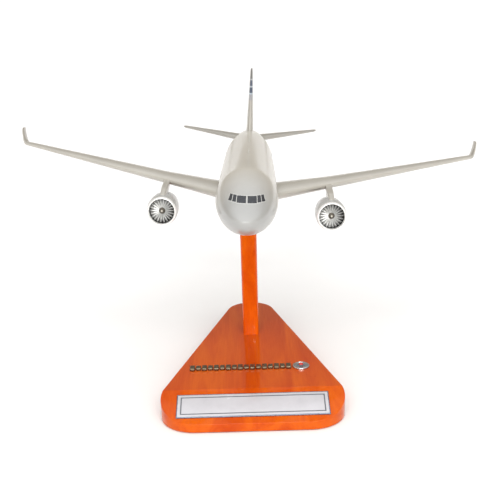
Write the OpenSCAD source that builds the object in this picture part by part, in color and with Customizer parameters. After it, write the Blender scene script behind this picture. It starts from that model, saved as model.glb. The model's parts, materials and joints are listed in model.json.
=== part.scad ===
// Desktop airliner model: a lacquered wooden twin-engine airliner, 1/144, on a curved arm
// that stands on a triangular wooden base. The nose points along -Y and the tail along +Y.
// The aircraft turns on a steel peg and lifts off it, and both engine fans turn.

/* [Fuselage] */
// Overall length of the fuselage
fuselage_length = 442; // [400:1:460]
// Largest radius of the fuselage
fuselage_r = 21.1; // [20:0.1:22]
// Length of the nose before the section is full
nose_length = 62.5; // [56:0.5:70]
// Drop of the nose tip below the fuselage axis
nose_drop = 4.9; // [4:0.1:6]
// Length of the tapering tail
tail_length = 152; // [140:1:160]
// Distance from the nose tip to the peg axis
peg_station = 208; // [200:1:216]
// Nose-up angle of the aircraft on its stand
nose_up = 5.5; // [4:0.1:7]
// Bank of the aircraft on its stand: the wing on the +X side hangs lower
bank = 3.3; // [0:0.1:4]
// Turn of the aircraft on its peg, clockwise as seen from above
heading = 0.6; // [0:0.1:2]

/* [Wings] */
// Half span to the joint with the winglet
half_span = 196.5; // [190:0.5:200]
// Station of the leading edge at the fuselage side
wing_root_le = 139; // [135:1:143]
// Station of the trailing edge at the fuselage side
wing_root_te = 215; // [210:1:220]
// Distance out to the kink in the trailing edge
kink_x = 64.5; // [60:0.5:70]
// Station of the trailing edge at the kink
kink_te = 225; // [222:1:230]
// Station of the leading edge at the winglet joint
wing_tip_le = 266.6; // [260:0.1:270]
// Station of the trailing edge at the winglet joint
wing_tip_te = 284.5; // [282:0.1:288]
// Height of the leading edge at the fuselage side
wing_root_z = -9.3; // [-10:0.1:-6]
// Height of the leading edge at the winglet joint
wing_tip_z = 9.9; // [8:0.1:13]
// Height of the winglet
winglet_h = 12.6; // [10:0.1:15]

/* [Tail] */
// Half span of the stabiliser
stabiliser_span = 68.3; // [64:0.1:72]
// Height of the fin tip above the fuselage axis
fin_height = 78.3; // [74:0.1:82]

/* [Engines] */
// Distance of each engine from the centre line
engine_x = 63.4; // [60:0.1:66]
// Height of each engine's axis
engine_z = -22; // [-23:0.1:-20]
// Station of the inlet lip
inlet_station = 125.6; // [122:0.1:130]
// Largest radius of the nacelle
nacelle_r = 11.6; // [11:0.1:12]
// Inner radius of the inlet duct at the fan
duct_r = 9.4; // [9.2:0.1:9.6]
// Number of fan blades
blade_count = 22; // [16:1:26]

/* [Stand] */
// Height of the fuselage axis above the base's top at the peg
axis_above_base = 155.5; // [145:0.5:165]
// Thickness of the wooden base
base_t = 18.5; // [17:0.1:20]
// Thickness of the felt underlay
felt_t = 0.8; // [0.5:0.1:1.5]
// Half width of the base at the ridge
base_half_w = 70.8; // [68:0.1:74]
// Distance from the ridge back to the point where the two sides would meet
base_apex = 246; // [240:1:250]
// Depth of the sloping front facet
facet_depth = 36; // [33:0.5:38]
// Drop of the sloping front facet
facet_drop = 11.7; // [10:0.1:13]
// Distance from the front of the arm's foot forward to the ridge
foot_to_ridge = 109.7; // [105:0.1:114]
// Radius of the two front corners
front_corner_r = 28; // [24:0.5:31]
// Radius of the rear corner
rear_corner_r = 21.7; // [20:0.1:24]
// Width of the arm
arm_w = 13.9; // [13:0.1:15]
// Depth of the arm, front to back, at mid height
arm_depth = 20; // [18:0.5:24]
// Radius of the steel peg
peg_r = 3; // [2.5:0.1:3.2]
// Length of the peg that stands in the aircraft's socket
peg_engagement = 15; // [12:0.5:16]

/* [Name plate and badge] */
// Width of the name plate
plate_w = 118; // [110:0.5:120]
// Height of the name plate
plate_h = 24.6; // [22:0.1:26]
// Width of the row of badge bars
badge_w = 84; // [75:1:86]
// Number of badge bars
bar_count = 17; // [9:2:19]

/* [Hidden] */
$fn = 48;

ring_sides = 36;
foil_sides = 16;
glue_gap = 0.05;
run_gap = 0.05;
head_clearance = 0.02;
slice = 0.01;

// Where things are: the origin lies under the middle of the bounding box, on the desk.
nose_y = -peg_station * cos(nose_up);
tail_y = (fuselage_length - peg_station) * cos(nose_up);
peg_y = -(nose_y + tail_y) / 2;
aircraft_x = -2.2;
base_top = felt_t + base_t;
axis_z = base_top + axis_above_base;

// Fuselage stations and outline
tail_start = fuselage_length - tail_length;
tail_cone_station = fuselage_length - 14;
tail_end_r = 2.2;
tail_end_top = 12.5;
nose_rings = 12;
tail_rings = 12;

// Belly fairing
fairing_start = 116;
fairing_end = 266;
fairing_w = 22.6;
fairing_z = -23;
fairing_rings = 16;
socket_r = 5;
socket_depth = 20;
flange_r = 8;
flange_t = 1.5;
washer_r = 9;
washer_t = 1.6;

// Wing
root_x = fuselage_r;
wing_start_x = 12;
tip_t = 0.15;
root_t = 0.155;
winglet_tip_t = 0.1;

// Engine stations, measured back from the inlet lip
lip_length = 4;
fan_station = 7.5;
fan_depth = 3.6;
bulkhead_station = 15;
cowl_length = 38;
nozzle_end = 54;
plug_end = 61;
fan_r = duct_r - 0.35;
hub_r = 2.4;
fan_shaft_r = 1;

// Base outline. The ridge is where the flat top meets the sloping front facet.
foot_back = 25;
ridge_y = peg_y + foot_back - foot_to_ridge;
front_y = ridge_y - facet_depth;
side_angle = atan(base_half_w / base_apex);
facet_angle = atan(facet_drop / facet_depth);
facet_length = norm([facet_depth, facet_drop]);

// Arm: foot centre, and head centre on the peg's axis. The bank swings the head sideways,
// so the whole stand is moved over to keep the peg in the middle of the arm.
foot_y = peg_y + foot_back + 12;
head_gap = fairing_z - flange_t - washer_t;
stand_x = aircraft_x + head_gap * sin(bank);

// ---------------------------------------------------------------- placing

// From aircraft coordinates (X right, Y aft of the peg, Z up from the fuselage axis)
module in_aircraft() {
    translate([aircraft_x, peg_y, axis_z])
        rotate([-nose_up, 0, 0])
            rotate([0, bank, 0])
                rotate([0, 0, -heading])
                    children();
}

// From coordinates whose Y is the station behind the nose tip
module at_stations() {
    in_aircraft() translate([0, -peg_station, 0]) children();
}

// One side's engine axis, +Z pointing aft from the inlet lip
module at_engine(side) {
    at_stations()
        translate([side * engine_x, inlet_station, engine_z])
            rotate([-90, 0, 0])
                children();
}

// From coordinates centred on the stand
module in_stand() {
    translate([stand_x, 0, 0]) children();
}

// The sloping facet: X across, Y up the slope from its middle, Z out of the wood
module on_facet() {
    translate([stand_x, ridge_y, base_top])
        rotate([facet_angle, 0, 0])
            translate([0, -facet_length / 2, 0])
                children();
}

// ---------------------------------------------------------------- lofting

// Joins equal rings of points into one closed solid.
module loft(rings) {
    sides = len(rings[0]);
    last = (len(rings) - 1) * sides;
    points = [for (ring = rings) each ring];
    walls = [
        for (r = [0 : len(rings) - 2], i = [0 : sides - 1])
            let (a = r * sides + i, b = r * sides + (i + 1) % sides)
                each [[b, a, a + sides], [b, a + sides, b + sides]]
    ];
    start_cap = [[for (i = [0 : sides - 1]) i]];
    end_cap = [[for (i = [sides - 1 : -1 : 0]) last + i]];
    polyhedron(points, concat(start_cap, walls, end_cap), convexity = 6);
}

// A point t of the way from a to b
function mix(a, b, t) = a + (b - a) * t;

// Blunt nose curve from 0 to 1
function round_nose(t) = sqrt(1 - pow(1 - t, 2));

// Sloping windscreen curve from 0 to 1
function brow(t) = t * (2 - t) + 0.12 * sqrt(t) * pow(1 - t, 4);

// Height of the widest line, crown, keel and half width of the fuselage at a station
function nose_t(s) = min(1, max(0.0004, s / nose_length));
function tail_t(s) = max(0, (s - tail_start) / tail_length);
function crown_z(s) = s < nose_length
    ? mix(-nose_drop, fuselage_r, brow(nose_t(s)))
    : mix(fuselage_r, tail_end_top, pow(tail_t(s), 2.4));
function keel_z(s) = s < nose_length
    ? mix(-nose_drop, -fuselage_r, round_nose(nose_t(s)))
    : mix(-fuselage_r, tail_end_top - 2 * tail_end_r, pow(tail_t(s), 1.55));
function half_width(s) = s < nose_length
    ? fuselage_r * round_nose(nose_t(s))
    : mix(fuselage_r, tail_end_r, pow(tail_t(s), 1.75));
function waist_z(s) = s < nose_length
    ? mix(-nose_drop, 0, brow(nose_t(s)))
    : (crown_z(s) + keel_z(s)) / 2;

// One ring of the fuselage at a station: two half ellipses that meet at the widest line
function fuselage_ring(s, sides = ring_sides) = [
    for (i = [0 : sides - 1])
        let (
            a = -360 * i / sides,
            up = sin(a) >= 0,
            reach = up ? crown_z(s) - waist_z(s) : waist_z(s) - keel_z(s)
        )
            [half_width(s) * cos(a), s, waist_z(s) + reach * sin(a)]
];

// Stations of the rings, closer together where the outline bends most
function nose_stations() = [
    for (i = [0 : nose_rings]) nose_length * pow(i / nose_rings, 2)
];
function tail_stations(end) = [
    for (i = [0 : tail_rings]) mix(tail_start, end, i / tail_rings)
];

// The whole outer form of the fuselage
module fuselage_form(end = tail_cone_station) {
    loft([for (s = concat(nose_stations(), tail_stations(end))) fuselage_ring(s)]);
}

// Belly fairing: a fuller keel under the wing, sunk into the fuselage at both ends
function fairing_swell(t) = sqrt(sin(180 * t));
function fairing_ring(t) = [
    for (i = [0 : ring_sides - 1])
        let (
            a = -360 * i / ring_sides,
            swell = fairing_swell(t),
            w = mix(14, fairing_w, swell),
            low = mix(-14, fairing_z, swell),
            square = 0.8,
            c = sign(cos(a)) * pow(abs(cos(a)), square),
            d = sign(sin(a)) * pow(abs(sin(a)), square),
            middle = -8
        )
            [w * c, mix(fairing_start, fairing_end, t), middle + (middle - low) * d]
];
module fairing_form() {
    loft([for (i = [0 : fairing_rings]) fairing_ring(0.001 + 0.998 * i / fairing_rings)]);
}

// Half thickness of a wing section at a fraction f of its chord, for a thickness ratio t
function foil_half(f, t) = 5 * t * (
    0.2969 * sqrt(f) - 0.126 * f - 0.3516 * pow(f, 2) + 0.2843 * pow(f, 3) - 0.1036 * pow(f, 4)
);

// Closed outline of a section as [chord fraction, height / chord], from the trailing edge
function foil(t, camber) = [
    for (i = [0 : foil_sides - 1])
        let (
            a = 360 * i / foil_sides,
            f = (1 + cos(a)) / 2,
            half = foil_half(f, t)
        )
            [f, 4 * camber * f * (1 - f) + (sin(a) >= 0 ? half : -half)]
];

// A section ring standing across the span at distance x
function wing_ring(x, le, te, le_z, te_z, t, camber = 0) = [
    for (p = foil(t, camber))
        [x, mix(le, te, p[0]), mix(le_z, te_z, p[0]) + p[1] * (te - le)]
];

function wing_le(x) = mix(wing_root_le, wing_tip_le, (x - root_x) / (half_span - root_x));
function wing_te(x) = x < kink_x
    ? mix(wing_root_te, kink_te, (x - root_x) / (kink_x - root_x))
    : mix(kink_te, wing_tip_te, (x - kink_x) / (half_span - kink_x));
function wing_le_z(x) = mix(wing_root_z, wing_tip_z, (x - root_x) / (half_span - root_x));
function wing_te_z(x) = mix(wing_root_z - 2.7, wing_tip_z - 0.1, (x - root_x) / (half_span - root_x));
function wing_t(x) = mix(root_t, tip_t, (x - root_x) / (half_span - root_x));
function wing_section(x) =
    wing_ring(x, wing_le(x), wing_te(x), wing_le_z(x), wing_te_z(x), wing_t(x), 0.012);

// Right wing before the fuselage and fairing are taken from its root
module wing_form() {
    loft([for (x = [wing_start_x, root_x, 42, kink_x, 108, 152, half_span]) wing_section(x)]);
}

// Sides: mirror the right-hand piece for the left
module on_side(side) {
    if (side > 0) children();
    else mirror([1, 0, 0]) children();
}

// Two glue dowels that hold each wing
wing_dowel_stations = [163, 190];
wing_dowel_r = 2;
wing_dowel_z = -9.7;
wing_dowel_length = 29;
module wing_dowel_pair(r, length) {
    for (s = wing_dowel_stations)
        translate([8, s, wing_dowel_z])
            rotate([0, 90, 0])
                cylinder(r = r, h = length);
}

module wing_dowel_holes() {
    for (side = [-1, 1])
        on_side(side) wing_dowel_pair(wing_dowel_r + glue_gap, wing_dowel_length);
}

module wing(side) {
    color("silver") at_stations() on_side(side) difference() {
        wing_form();
        fuselage_form();
        fairing_form();
        wing_dowel_pair(wing_dowel_r + glue_gap, wing_dowel_length);
    }
}

module wing_dowels() {
    color("burlywood") at_stations()
        for (side = [-1, 1])
            on_side(side) wing_dowel_pair(wing_dowel_r, wing_dowel_length - 0.1);
}

// Winglet: leans out and sweeps back from the wing's last section
module winglet(side) {
    steps = 5;
    color("gainsboro") at_stations() on_side(side)
        loft([
            for (i = [0 : steps])
                let (
                    u = i / steps,
                    rise = winglet_h * pow(u, 1.6),
                    out = 7.2 * pow(u, 0.75),
                    le = wing_tip_le + 17.5 * pow(u, 1.1),
                    te = wing_tip_te + 11.5 * u
                )
                    [
                        for (p = foil(mix(tip_t, winglet_tip_t, u), 0.012 * (1 - u)))
                            let (lean = p[1] * (te - le))
                                [
                                    half_span + out - lean * sin(65 * u),
                                    mix(le, te, p[0]),
                                    mix(wing_tip_z, wing_tip_z - 0.1, p[0]) + rise
                                        + lean * cos(65 * u)
                                ]
                    ]
        ]);
}

// Canoe-shaped fairings that hang below the flaps
fairing_places = [42, 88, 122];
module flap_fairing(x) {
    chord = wing_te(x) - wing_le(x);
    length = 0.5 * chord + 6;
    translate([x, wing_te(x) - 0.42 * chord, wing_te_z(x) - 1.9])
        loft([
            for (i = [0 : 8])
                let (t = 0.01 + 0.98 * i / 8, r = 1.9 * sqrt(sin(180 * t)))
                    [
                        for (k = [0 : 11])
                            let (a = -30 * k)
                                [0.8 * r * cos(a), length * (t - 0.3), r * sin(a) + 0.8 * t]
                    ]
        ]);
}
module flap_fairings(side) {
    color("silver") at_stations() on_side(side) difference() {
        for (x = fairing_places) flap_fairing(x);
        wing_form();
    }
}

// ---------------------------------------------------------------- fuselage

module peg_socket(r, depth) {
    in_aircraft() translate([0, 0, fairing_z - 10]) cylinder(r = r, h = 10 + depth);
}

module fuselage() {
    color("silver") difference() {
        at_stations() difference() {
            fuselage_form();
            wing_dowel_holes();
            for (side = [-1, 1]) on_side(side) stabiliser_dowel_hole();
            fin_dowel_pair(fin_dowel_r + glue_gap);
            glazing_form();
        }
        peg_socket(socket_r + glue_gap, socket_depth + glue_gap);
    }
}

module belly_fairing() {
    color("silver") difference() {
        at_stations() difference() {
            fairing_form();
            fuselage_form();
            wing_dowel_holes();
        }
        peg_socket(socket_r + glue_gap, socket_depth);
        in_aircraft() translate([0, 0, fairing_z - 5]) cylinder(r = flange_r + 0.5, h = 5);
    }
}

// Brass socket: a blind sleeve with a flange that rests on the thrust washer
module socket_bush() {
    bore_r = peg_r + run_gap;
    color("gold") in_aircraft()
        translate([0, 0, fairing_z])
            rotate_extrude()
                polygon([
                    [bore_r, -flange_t],
                    [flange_r, -flange_t],
                    [flange_r, 0],
                    [socket_r, 0],
                    [socket_r, socket_depth],
                    [0, socket_depth],
                    [0, peg_engagement + 1.5],
                    [bore_r, peg_engagement + 1.5]
                ]);
}

// The last stretch of the tail, a separate turned tip with an outlet in its end
module tail_cone() {
    outlet_z = tail_end_top - tail_end_r;
    color("gray") at_stations() difference() {
        loft([
            for (i = [0 : 5])
                fuselage_ring(mix(tail_cone_station, fuselage_length, i / 5))
        ]);
        translate([0, fuselage_length + slice, outlet_z])
            rotate([90, 0, 0])
                cylinder(r = 1.4, h = 4);
    }
}

// Cockpit glazing: a thin wrap-round band set into the nose
pane_low = 5.2;
pane_high = 9.6;
pane_reach = 13.6;
module glazing_form() {
    difference() {
        intersection() {
            fuselage_form();
            translate([-pane_reach, 8, pane_low])
                cube([2 * pane_reach, 18, pane_high - pane_low]);
        }
        translate([0, 1.2, 0]) scale([0.97, 1, 0.97]) fuselage_form();
    }
}
module cockpit_glazing() {
    color("darkslategray") at_stations() glazing_form();
}

// Blade antennas: two on the crown, one under the belly
antenna_places = [150, 235];
module blade_antenna() {
    rotate([90, 0, 90])
        translate([0, 0, -0.3])
            linear_extrude(0.6)
                polygon([[0, 0], [4.5, 0], [4.5, 1], [4.2, 3.4], [2.9, 3.4], [1.2, 1]]);
}
module blade_antennas() {
    color("gainsboro") at_stations() {
        for (s = antenna_places)
            translate([0, s, fuselage_r]) blade_antenna();
        translate([0, 95, -fuselage_r]) mirror([0, 0, 1]) blade_antenna();
    }
}

// ---------------------------------------------------------------- tail

stab_root_x = 6;
stab_root_le = 370;
stab_root_te = 414;
stab_tip_le = 416;
stab_tip_te = 430;
stab_root_z = 10.4;
stab_tip_z = 16.8;
stab_t = 0.15;
module stabiliser_form() {
    loft([
        for (u = [0, 0.33, 0.66, 0.96, 1])
            wing_ring(
                mix(stab_root_x, stabiliser_span, u),
                mix(stab_root_le, stab_tip_le, u) + (u == 1 ? 2.5 : 0),
                mix(stab_root_te, stab_tip_te, u) - (u == 1 ? 1 : 0),
                mix(stab_root_z, stab_tip_z, u),
                mix(stab_root_z, stab_tip_z, u),
                stab_t
            )
    ]);
}
stabiliser_dowel_r = 1.25;
module stabiliser_dowel(r, length) {
    translate([5, 388, stab_root_z + 0.6])
        rotate([0, 90, 0])
            cylinder(r = r, h = length);
}
module stabiliser_dowel_hole() {
    stabiliser_dowel(stabiliser_dowel_r + glue_gap, 19);
}
module stabiliser(side) {
    color("silver") at_stations() on_side(side) difference() {
        stabiliser_form();
        fuselage_form();
        stabiliser_dowel_hole();
    }
}
module stabiliser_dowels() {
    color("burlywood") at_stations()
        for (side = [-1, 1]) on_side(side) stabiliser_dowel(stabiliser_dowel_r, 18.9);
}

fin_root_z = 12;
fin_root_le = 345;
fin_root_te = 419;
fin_tip_le = 406;
fin_tip_te = 427;
function fin_ring(u, cut = 0) = [
    for (p = foil(0.1, 0))
        let (
            le = mix(fin_root_le, fin_tip_le, u) + cut,
            te = mix(fin_root_te, fin_tip_te, u) - cut / 3
        )
            [-p[1] * (te - le), mix(le, te, p[0]), mix(fin_root_z, fin_height, u)]
];
module fin_form() {
    loft([fin_ring(0), fin_ring(0.33), fin_ring(0.66), fin_ring(0.965), fin_ring(1, 2.5)]);
}
fin_dowel_r = 1.5;
module fin_dowel_pair(r) {
    for (s = [372, 396])
        translate([0, s, 8]) cylinder(r = r, h = 20);
}
module fin() {
    color("silver") at_stations() difference() {
        fin_form();
        fuselage_form();
        fin_dowel_pair(fin_dowel_r + glue_gap);
    }
}
module fin_dowels() {
    color("burlywood") at_stations()
        translate([0, 0, glue_gap]) difference() {
            fin_dowel_pair(fin_dowel_r);
            translate([-5, 360, 27.9]) cube([10, 50, 1]);
        }
}

// ---------------------------------------------------------------- engines

// Outer radius of the cowl at a distance back from the lip
function cowl_r(d) = d < 12
    ? mix(10.35, nacelle_r, sin(90 * d / 12))
    : nacelle_r - 1.9 * pow((d - 12) / (cowl_length - 12), 2);
cowl_points = [for (d = [lip_length : 2 : cowl_length]) [cowl_r(d), d]];

// Cowl with the inlet duct in front and a closed wall behind the fan
module nacelle_form() {
    rotate_extrude()
        polygon(concat(
            [[0, bulkhead_station], [duct_r, bulkhead_station], [duct_r, lip_length]],
            cowl_points,
            [[0, cowl_length]]
        ));
}
module nacelle(side) {
    color("silver") at_engine(side) difference() {
        nacelle_form();
        translate([0, 0, bulkhead_station - slice])
            cylinder(r = 2.5 + glue_gap, h = 8 + slice);
    }
}

// Polished lip: a rounded ring in front of the cowl
module inlet_lip(side) {
    middle_r = (cowl_r(lip_length) + duct_r) / 2;
    half = (cowl_r(lip_length) - duct_r) / 2;
    color("white") at_engine(side) rotate_extrude()
        polygon(concat(
            [[duct_r, lip_length], [cowl_r(lip_length), lip_length]],
            [
                for (a = [0 : 15 : 180])
                    [middle_r - 0.1 + (half + 0.05) * cos(a), 0.9 - 0.9 * sin(a)]
            ]
        ));
}

// One fan blade: a thin plate set at an angle to the axis
blade_pitch = 38;
module fan_blade() {
    rotate([0, 90, 0])
        rotate([0, 0, blade_pitch])
            translate([-1.7, -0.22, hub_r - 1])
                cube([3.4, 0.44, fan_r]);
}
module fan_disc() {
    intersection() {
        for (i = [0 : blade_count - 1])
            rotate([0, 0, 360 * i / blade_count]) fan_blade();
        translate([0, 0, -fan_depth / 2]) cylinder(r = fan_r, h = fan_depth);
    }
    translate([0, 0, -fan_depth / 2]) cylinder(r = hub_r, h = fan_depth);
}
module fan(side) {
    color("silver") at_engine(side)
        translate([0, 0, fan_station]) difference() {
            fan_disc();
            translate([0, 0, -fan_depth])
                cylinder(r = fan_shaft_r, h = 2 * fan_depth);
        }
}

// Conical spinner in front of the hub, bored for the end of the shaft
spinner_bore = 1.2;
module spinner(side) {
    base = fan_station - fan_depth / 2;
    color("dimgray") at_engine(side) difference() {
        rotate_extrude()
            polygon([
                [0, base],
                [hub_r, base],
                [hub_r * 0.84, base - 1.1],
                [hub_r * 0.5, base - 2.2],
                [0.3, base - 2.9],
                [0, base - 3]
            ]);
        translate([0, 0, base - spinner_bore]) cylinder(r = fan_shaft_r, h = 2);
    }
}

// Steel shaft, fixed in the fan and turning in the bush
module fan_shaft(side) {
    color("gray") at_engine(side)
        translate([0, 0, fan_station - fan_depth / 2 - spinner_bore])
            cylinder(r = fan_shaft_r, h = spinner_bore + fan_depth + 11.5);
}

// Bronze bush set into the cowl's closed wall
module fan_bush(side) {
    top = bulkhead_station - 0.8;
    color("goldenrod") at_engine(side) difference() {
        rotate_extrude()
            polygon([
                [0, top],
                [3.2, top],
                [3.2, bulkhead_station],
                [2.5, bulkhead_station],
                [2.5, bulkhead_station + 8],
                [0, bulkhead_station + 8]
            ]);
        translate([0, 0, top - slice])
            cylinder(r = fan_shaft_r + run_gap, h = 8);
    }
}

// Core nozzle behind the cowl
module exhaust_nozzle(side) {
    color("gray") at_engine(side) rotate_extrude()
        polygon([
            [0, cowl_length],
            [7.6, cowl_length],
            [7.3, cowl_length + 5],
            [6.4, cowl_length + 11],
            [5, nozzle_end],
            [4.5, nozzle_end],
            [5, nozzle_end - 4],
            [0, nozzle_end - 4]
        ]);
}

// Cone in the middle of the nozzle
module exhaust_plug(side) {
    color("dimgray") at_engine(side) rotate_extrude()
        polygon([
            [0, nozzle_end - 4],
            [3.1, nozzle_end - 4],
            [2.9, nozzle_end],
            [1.8, nozzle_end + 4],
            [0, plug_end]
        ]);
}

// Pylon: a thin blade from the cowl's top to the wing's underside
pylon_half = 3;
function pylon_ring(z, front, back) = [
    for (i = [0 : foil_sides - 1])
        let (
            a = 360 * i / foil_sides,
            f = (1 + cos(a)) / 2
        )
            [
                -(sin(a) >= 0 ? 1 : -1) * pylon_half * sqrt(abs(sin(a))) * (1 - 0.5 * f),
                mix(front, back, f),
                z
            ]
];
module pylon_form() {
    translate([engine_x, 0, 0])
        loft([
            pylon_ring(engine_z + 10, inlet_station + 7, 182),
            pylon_ring(engine_z + nacelle_r, inlet_station + 8, 186),
            pylon_ring(engine_z + nacelle_r + 3.4, inlet_station + 18, 196),
            pylon_ring(-3.5, inlet_station + 42, 200)
        ]);
}
module pylon(side) {
    color("silver") at_stations() on_side(side) difference() {
        pylon_form();
        wing_form();
        translate([engine_x, inlet_station, engine_z]) rotate([-90, 0, 0]) {
            nacelle_form();
            cylinder(r = 7.7, h = nozzle_end + 4);
        }
    }
}

// ---------------------------------------------------------------- stand

// Points of an arc, both ends included
function arc(centre, r, from, to, steps) = [
    for (i = [0 : steps])
        let (a = mix(from, to, i / steps))
            centre + r * [cos(a), sin(a)]
];

// Rounded triangle; inset moves the whole outline inwards
function base_outline(inset = 0) =
    let (
        slope = tan(side_angle),
        stretch = 1 / cos(side_angle),
        front_c = [
            base_half_w + slope * (facet_depth - front_corner_r) - stretch * front_corner_r,
            front_y + front_corner_r
        ],
        rear_c = [0, ridge_y + base_apex - rear_corner_r / sin(side_angle)]
    )
        concat(
            arc(front_c, front_corner_r - inset, -90, side_angle, 10),
            arc(rear_c, rear_corner_r - inset, side_angle, 180 - side_angle, 12),
            arc([-front_c[0], front_c[1]], front_corner_r - inset, 180 - side_angle, 270, 10)
        );

arm_screw_y = [foot_y - 6, foot_y + 6];
module each_arm_screw() {
    for (y = arm_screw_y) translate([stand_x, y, felt_t]) children();
}
module each_arm_dowel() {
    for (x = [-3.6, 3.6]) translate([stand_x + x, foot_y, base_top]) children();
}
dowel_r = 1.5;
dowel_half = 6;

module stand_base() {
    color("orangered") difference() {
        in_stand() translate([0, 0, felt_t]) linear_extrude(base_t) polygon(base_outline());
        translate([0, ridge_y, base_top])
            rotate([facet_angle, 0, 0])
                translate([-100, -80, 0])
                    cube([200, 80, 40]);
        each_arm_screw() {
            translate([0, 0, -1]) cylinder(r = 4.6, h = 5);
            cylinder(r = 2, h = base_t + 1);
        }
        each_arm_dowel() cylinder(r = dowel_r + glue_gap, h = 2 * dowel_half, center = true);
    }
}

module base_felt() {
    color("darkgreen") in_stand() linear_extrude(felt_t) difference() {
        polygon(base_outline(1.5));
        for (y = arm_screw_y) translate([0, y]) circle(r = 5);
    }
}

// Arm: its centre line bends from the foot forward to the head, and leans with the peg
head = [peg_y + head_gap * sin(nose_up), axis_z + head_gap * cos(nose_up)];
arm_steps = 14;
function arm_centre(u) = let (
        p0 = [foot_y, base_top],
        p1 = [foot_y - 4, base_top + 50],
        p2 = head - 45 * [sin(nose_up), cos(nose_up)] + [16, 0],
        v = 1 - u
    )
        v * v * v * p0 + 3 * v * v * u * p1 + 3 * v * u * u * p2 + u * u * u * head;
function arm_half(u) = arm_depth / 2 + 3.5 * pow(1 - u, 6) - 1.2 * u;
arm_front = [
    for (i = [0 : arm_steps])
        let (u = i / arm_steps)
            arm_centre(u) - [arm_half(u) * cos(nose_up * u), -arm_half(u) * sin(nose_up * u)]
];
arm_back = [
    for (i = [arm_steps : -1 : 0])
        let (u = i / arm_steps)
            arm_centre(u) + [arm_half(u) * cos(nose_up * u), -arm_half(u) * sin(nose_up * u)]
];
arm_over = [
    for (side = [-1, 1])
        head + [side * arm_half(1) * cos(nose_up), 0]
            + 2 * [sin(nose_up), cos(nose_up)] - side * [0, arm_half(1) * sin(nose_up)]
];
peg_sunk = 20;
module on_peg() {
    in_aircraft() translate([0, 0, head_gap]) children();
}
module arm() {
    color("orangered") difference() {
        translate([stand_x - arm_w / 2, 0, 0])
            rotate([90, 0, 90])
                linear_extrude(arm_w)
                    polygon(concat(arm_front, [arm_over[0], arm_over[1]], arm_back));
        on_peg() {
            translate([0, 0, -peg_sunk]) cylinder(r = peg_r, h = peg_sunk + 1);
            translate([-50, -50, -head_clearance]) cube([100, 100, 50]);
        }
        each_arm_screw() cylinder(r = 1.7, h = base_t + 16.2);
        each_arm_dowel() cylinder(r = dowel_r + glue_gap, h = 2 * dowel_half, center = true);
    }
}

// Countersunk-head wood screws that hold the arm from below
module arm_screws() {
    color("silver") each_arm_screw() difference() {
        union() {
            translate([0, 0, 1.2]) cylinder(r = 3.6, h = 2);
            translate([0, 0, 3.2]) cylinder(r = 1.65, h = base_t + 12.5);
        }
        translate([-3, -0.4, 1]) cube([6, 0.8, 1]);
    }
}
module arm_washers() {
    color("gray") each_arm_screw() translate([0, 0, 3.2]) difference() {
        cylinder(r = 4.4, h = 0.8);
        translate([0, 0, -1]) cylinder(r = 1.8, h = 3);
    }
}
module arm_dowels() {
    color("burlywood") each_arm_dowel()
        cylinder(r = dowel_r, h = 2 * dowel_half - 0.2, center = true);
}

// Steel peg: pressed into the arm's head, with a rounded top
module mounting_peg() {
    reach = washer_t + flange_t + peg_engagement;
    color("silver") on_peg() rotate_extrude()
        polygon([
            [0, -peg_sunk],
            [peg_r, -peg_sunk],
            [peg_r, reach - 1],
            [peg_r - 1, reach],
            [0, reach]
        ]);
}

// Loose brass washer that the aircraft turns on
module thrust_washer() {
    color("gold") on_peg() difference() {
        cylinder(r = washer_r, h = washer_t);
        translate([0, 0, -1]) cylinder(r = peg_r + run_gap, h = washer_t + 2);
    }
}

// ---------------------------------------------------------------- name plate and badge

plate_t = 1.2;
face_t = 0.3;
plate_rim = 1.4;
module plate_back() {
    color("lightsteelblue") on_facet() difference() {
        translate([-plate_w / 2, -plate_h / 2, 0]) cube([plate_w, plate_h, plate_t]);
        translate([plate_rim - plate_w / 2, plate_rim - plate_h / 2, plate_t - face_t])
            cube([plate_w - 2 * plate_rim, plate_h - 2 * plate_rim, 1]);
    }
}
module plate_face() {
    color("white") on_facet()
        translate([plate_rim - plate_w / 2, plate_rim - plate_h / 2, plate_t - face_t])
            cube([plate_w - 2 * plate_rim, plate_h - 2 * plate_rim, face_t]);
}

// A row of plain metal bars of alternating height, standing on the base
badge_y = ridge_y + 37;
badge_left = -51;
bar_pitch = badge_w / bar_count;
bar_fill = 0.8;
bar_t = 2.4;
module badge_bars() {
    color("dimgray") in_stand()
        for (i = [0 : bar_count - 1]) {
            depth = i % 2 == 0 ? 7.2 : 5.8;
            translate([badge_left + i * bar_pitch, badge_y - depth / 2, base_top])
                cube([bar_pitch * bar_fill, depth, bar_t]);
        }
}

// Round ornament: a disc, a four-pointed star and a small enamelled stud
ornament_r = 7;
ornament_x = badge_left + badge_w + ornament_r + 0.4;
disc_t = 1.6;
star_t = 1;
stud_r = 1.8;
module on_ornament() {
    in_stand() translate([ornament_x, badge_y + 0.5, base_top]) children();
}
module ornament_disc() {
    color("lightgray") on_ornament() cylinder(r = ornament_r, h = disc_t);
}
module ornament_star() {
    color("gray") on_ornament()
        translate([0, 0, disc_t])
            linear_extrude(star_t)
                polygon([
                    for (i = [0 : 7])
                        (i % 2 == 0 ? ornament_r - 1 : 2.4) * [cos(45 * i), sin(45 * i)]
                ]);
}
module ornament_stud() {
    color("red") on_ornament()
        translate([0, 0, disc_t + star_t])
            cylinder(r = stud_r, h = 0.9);
}

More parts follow.
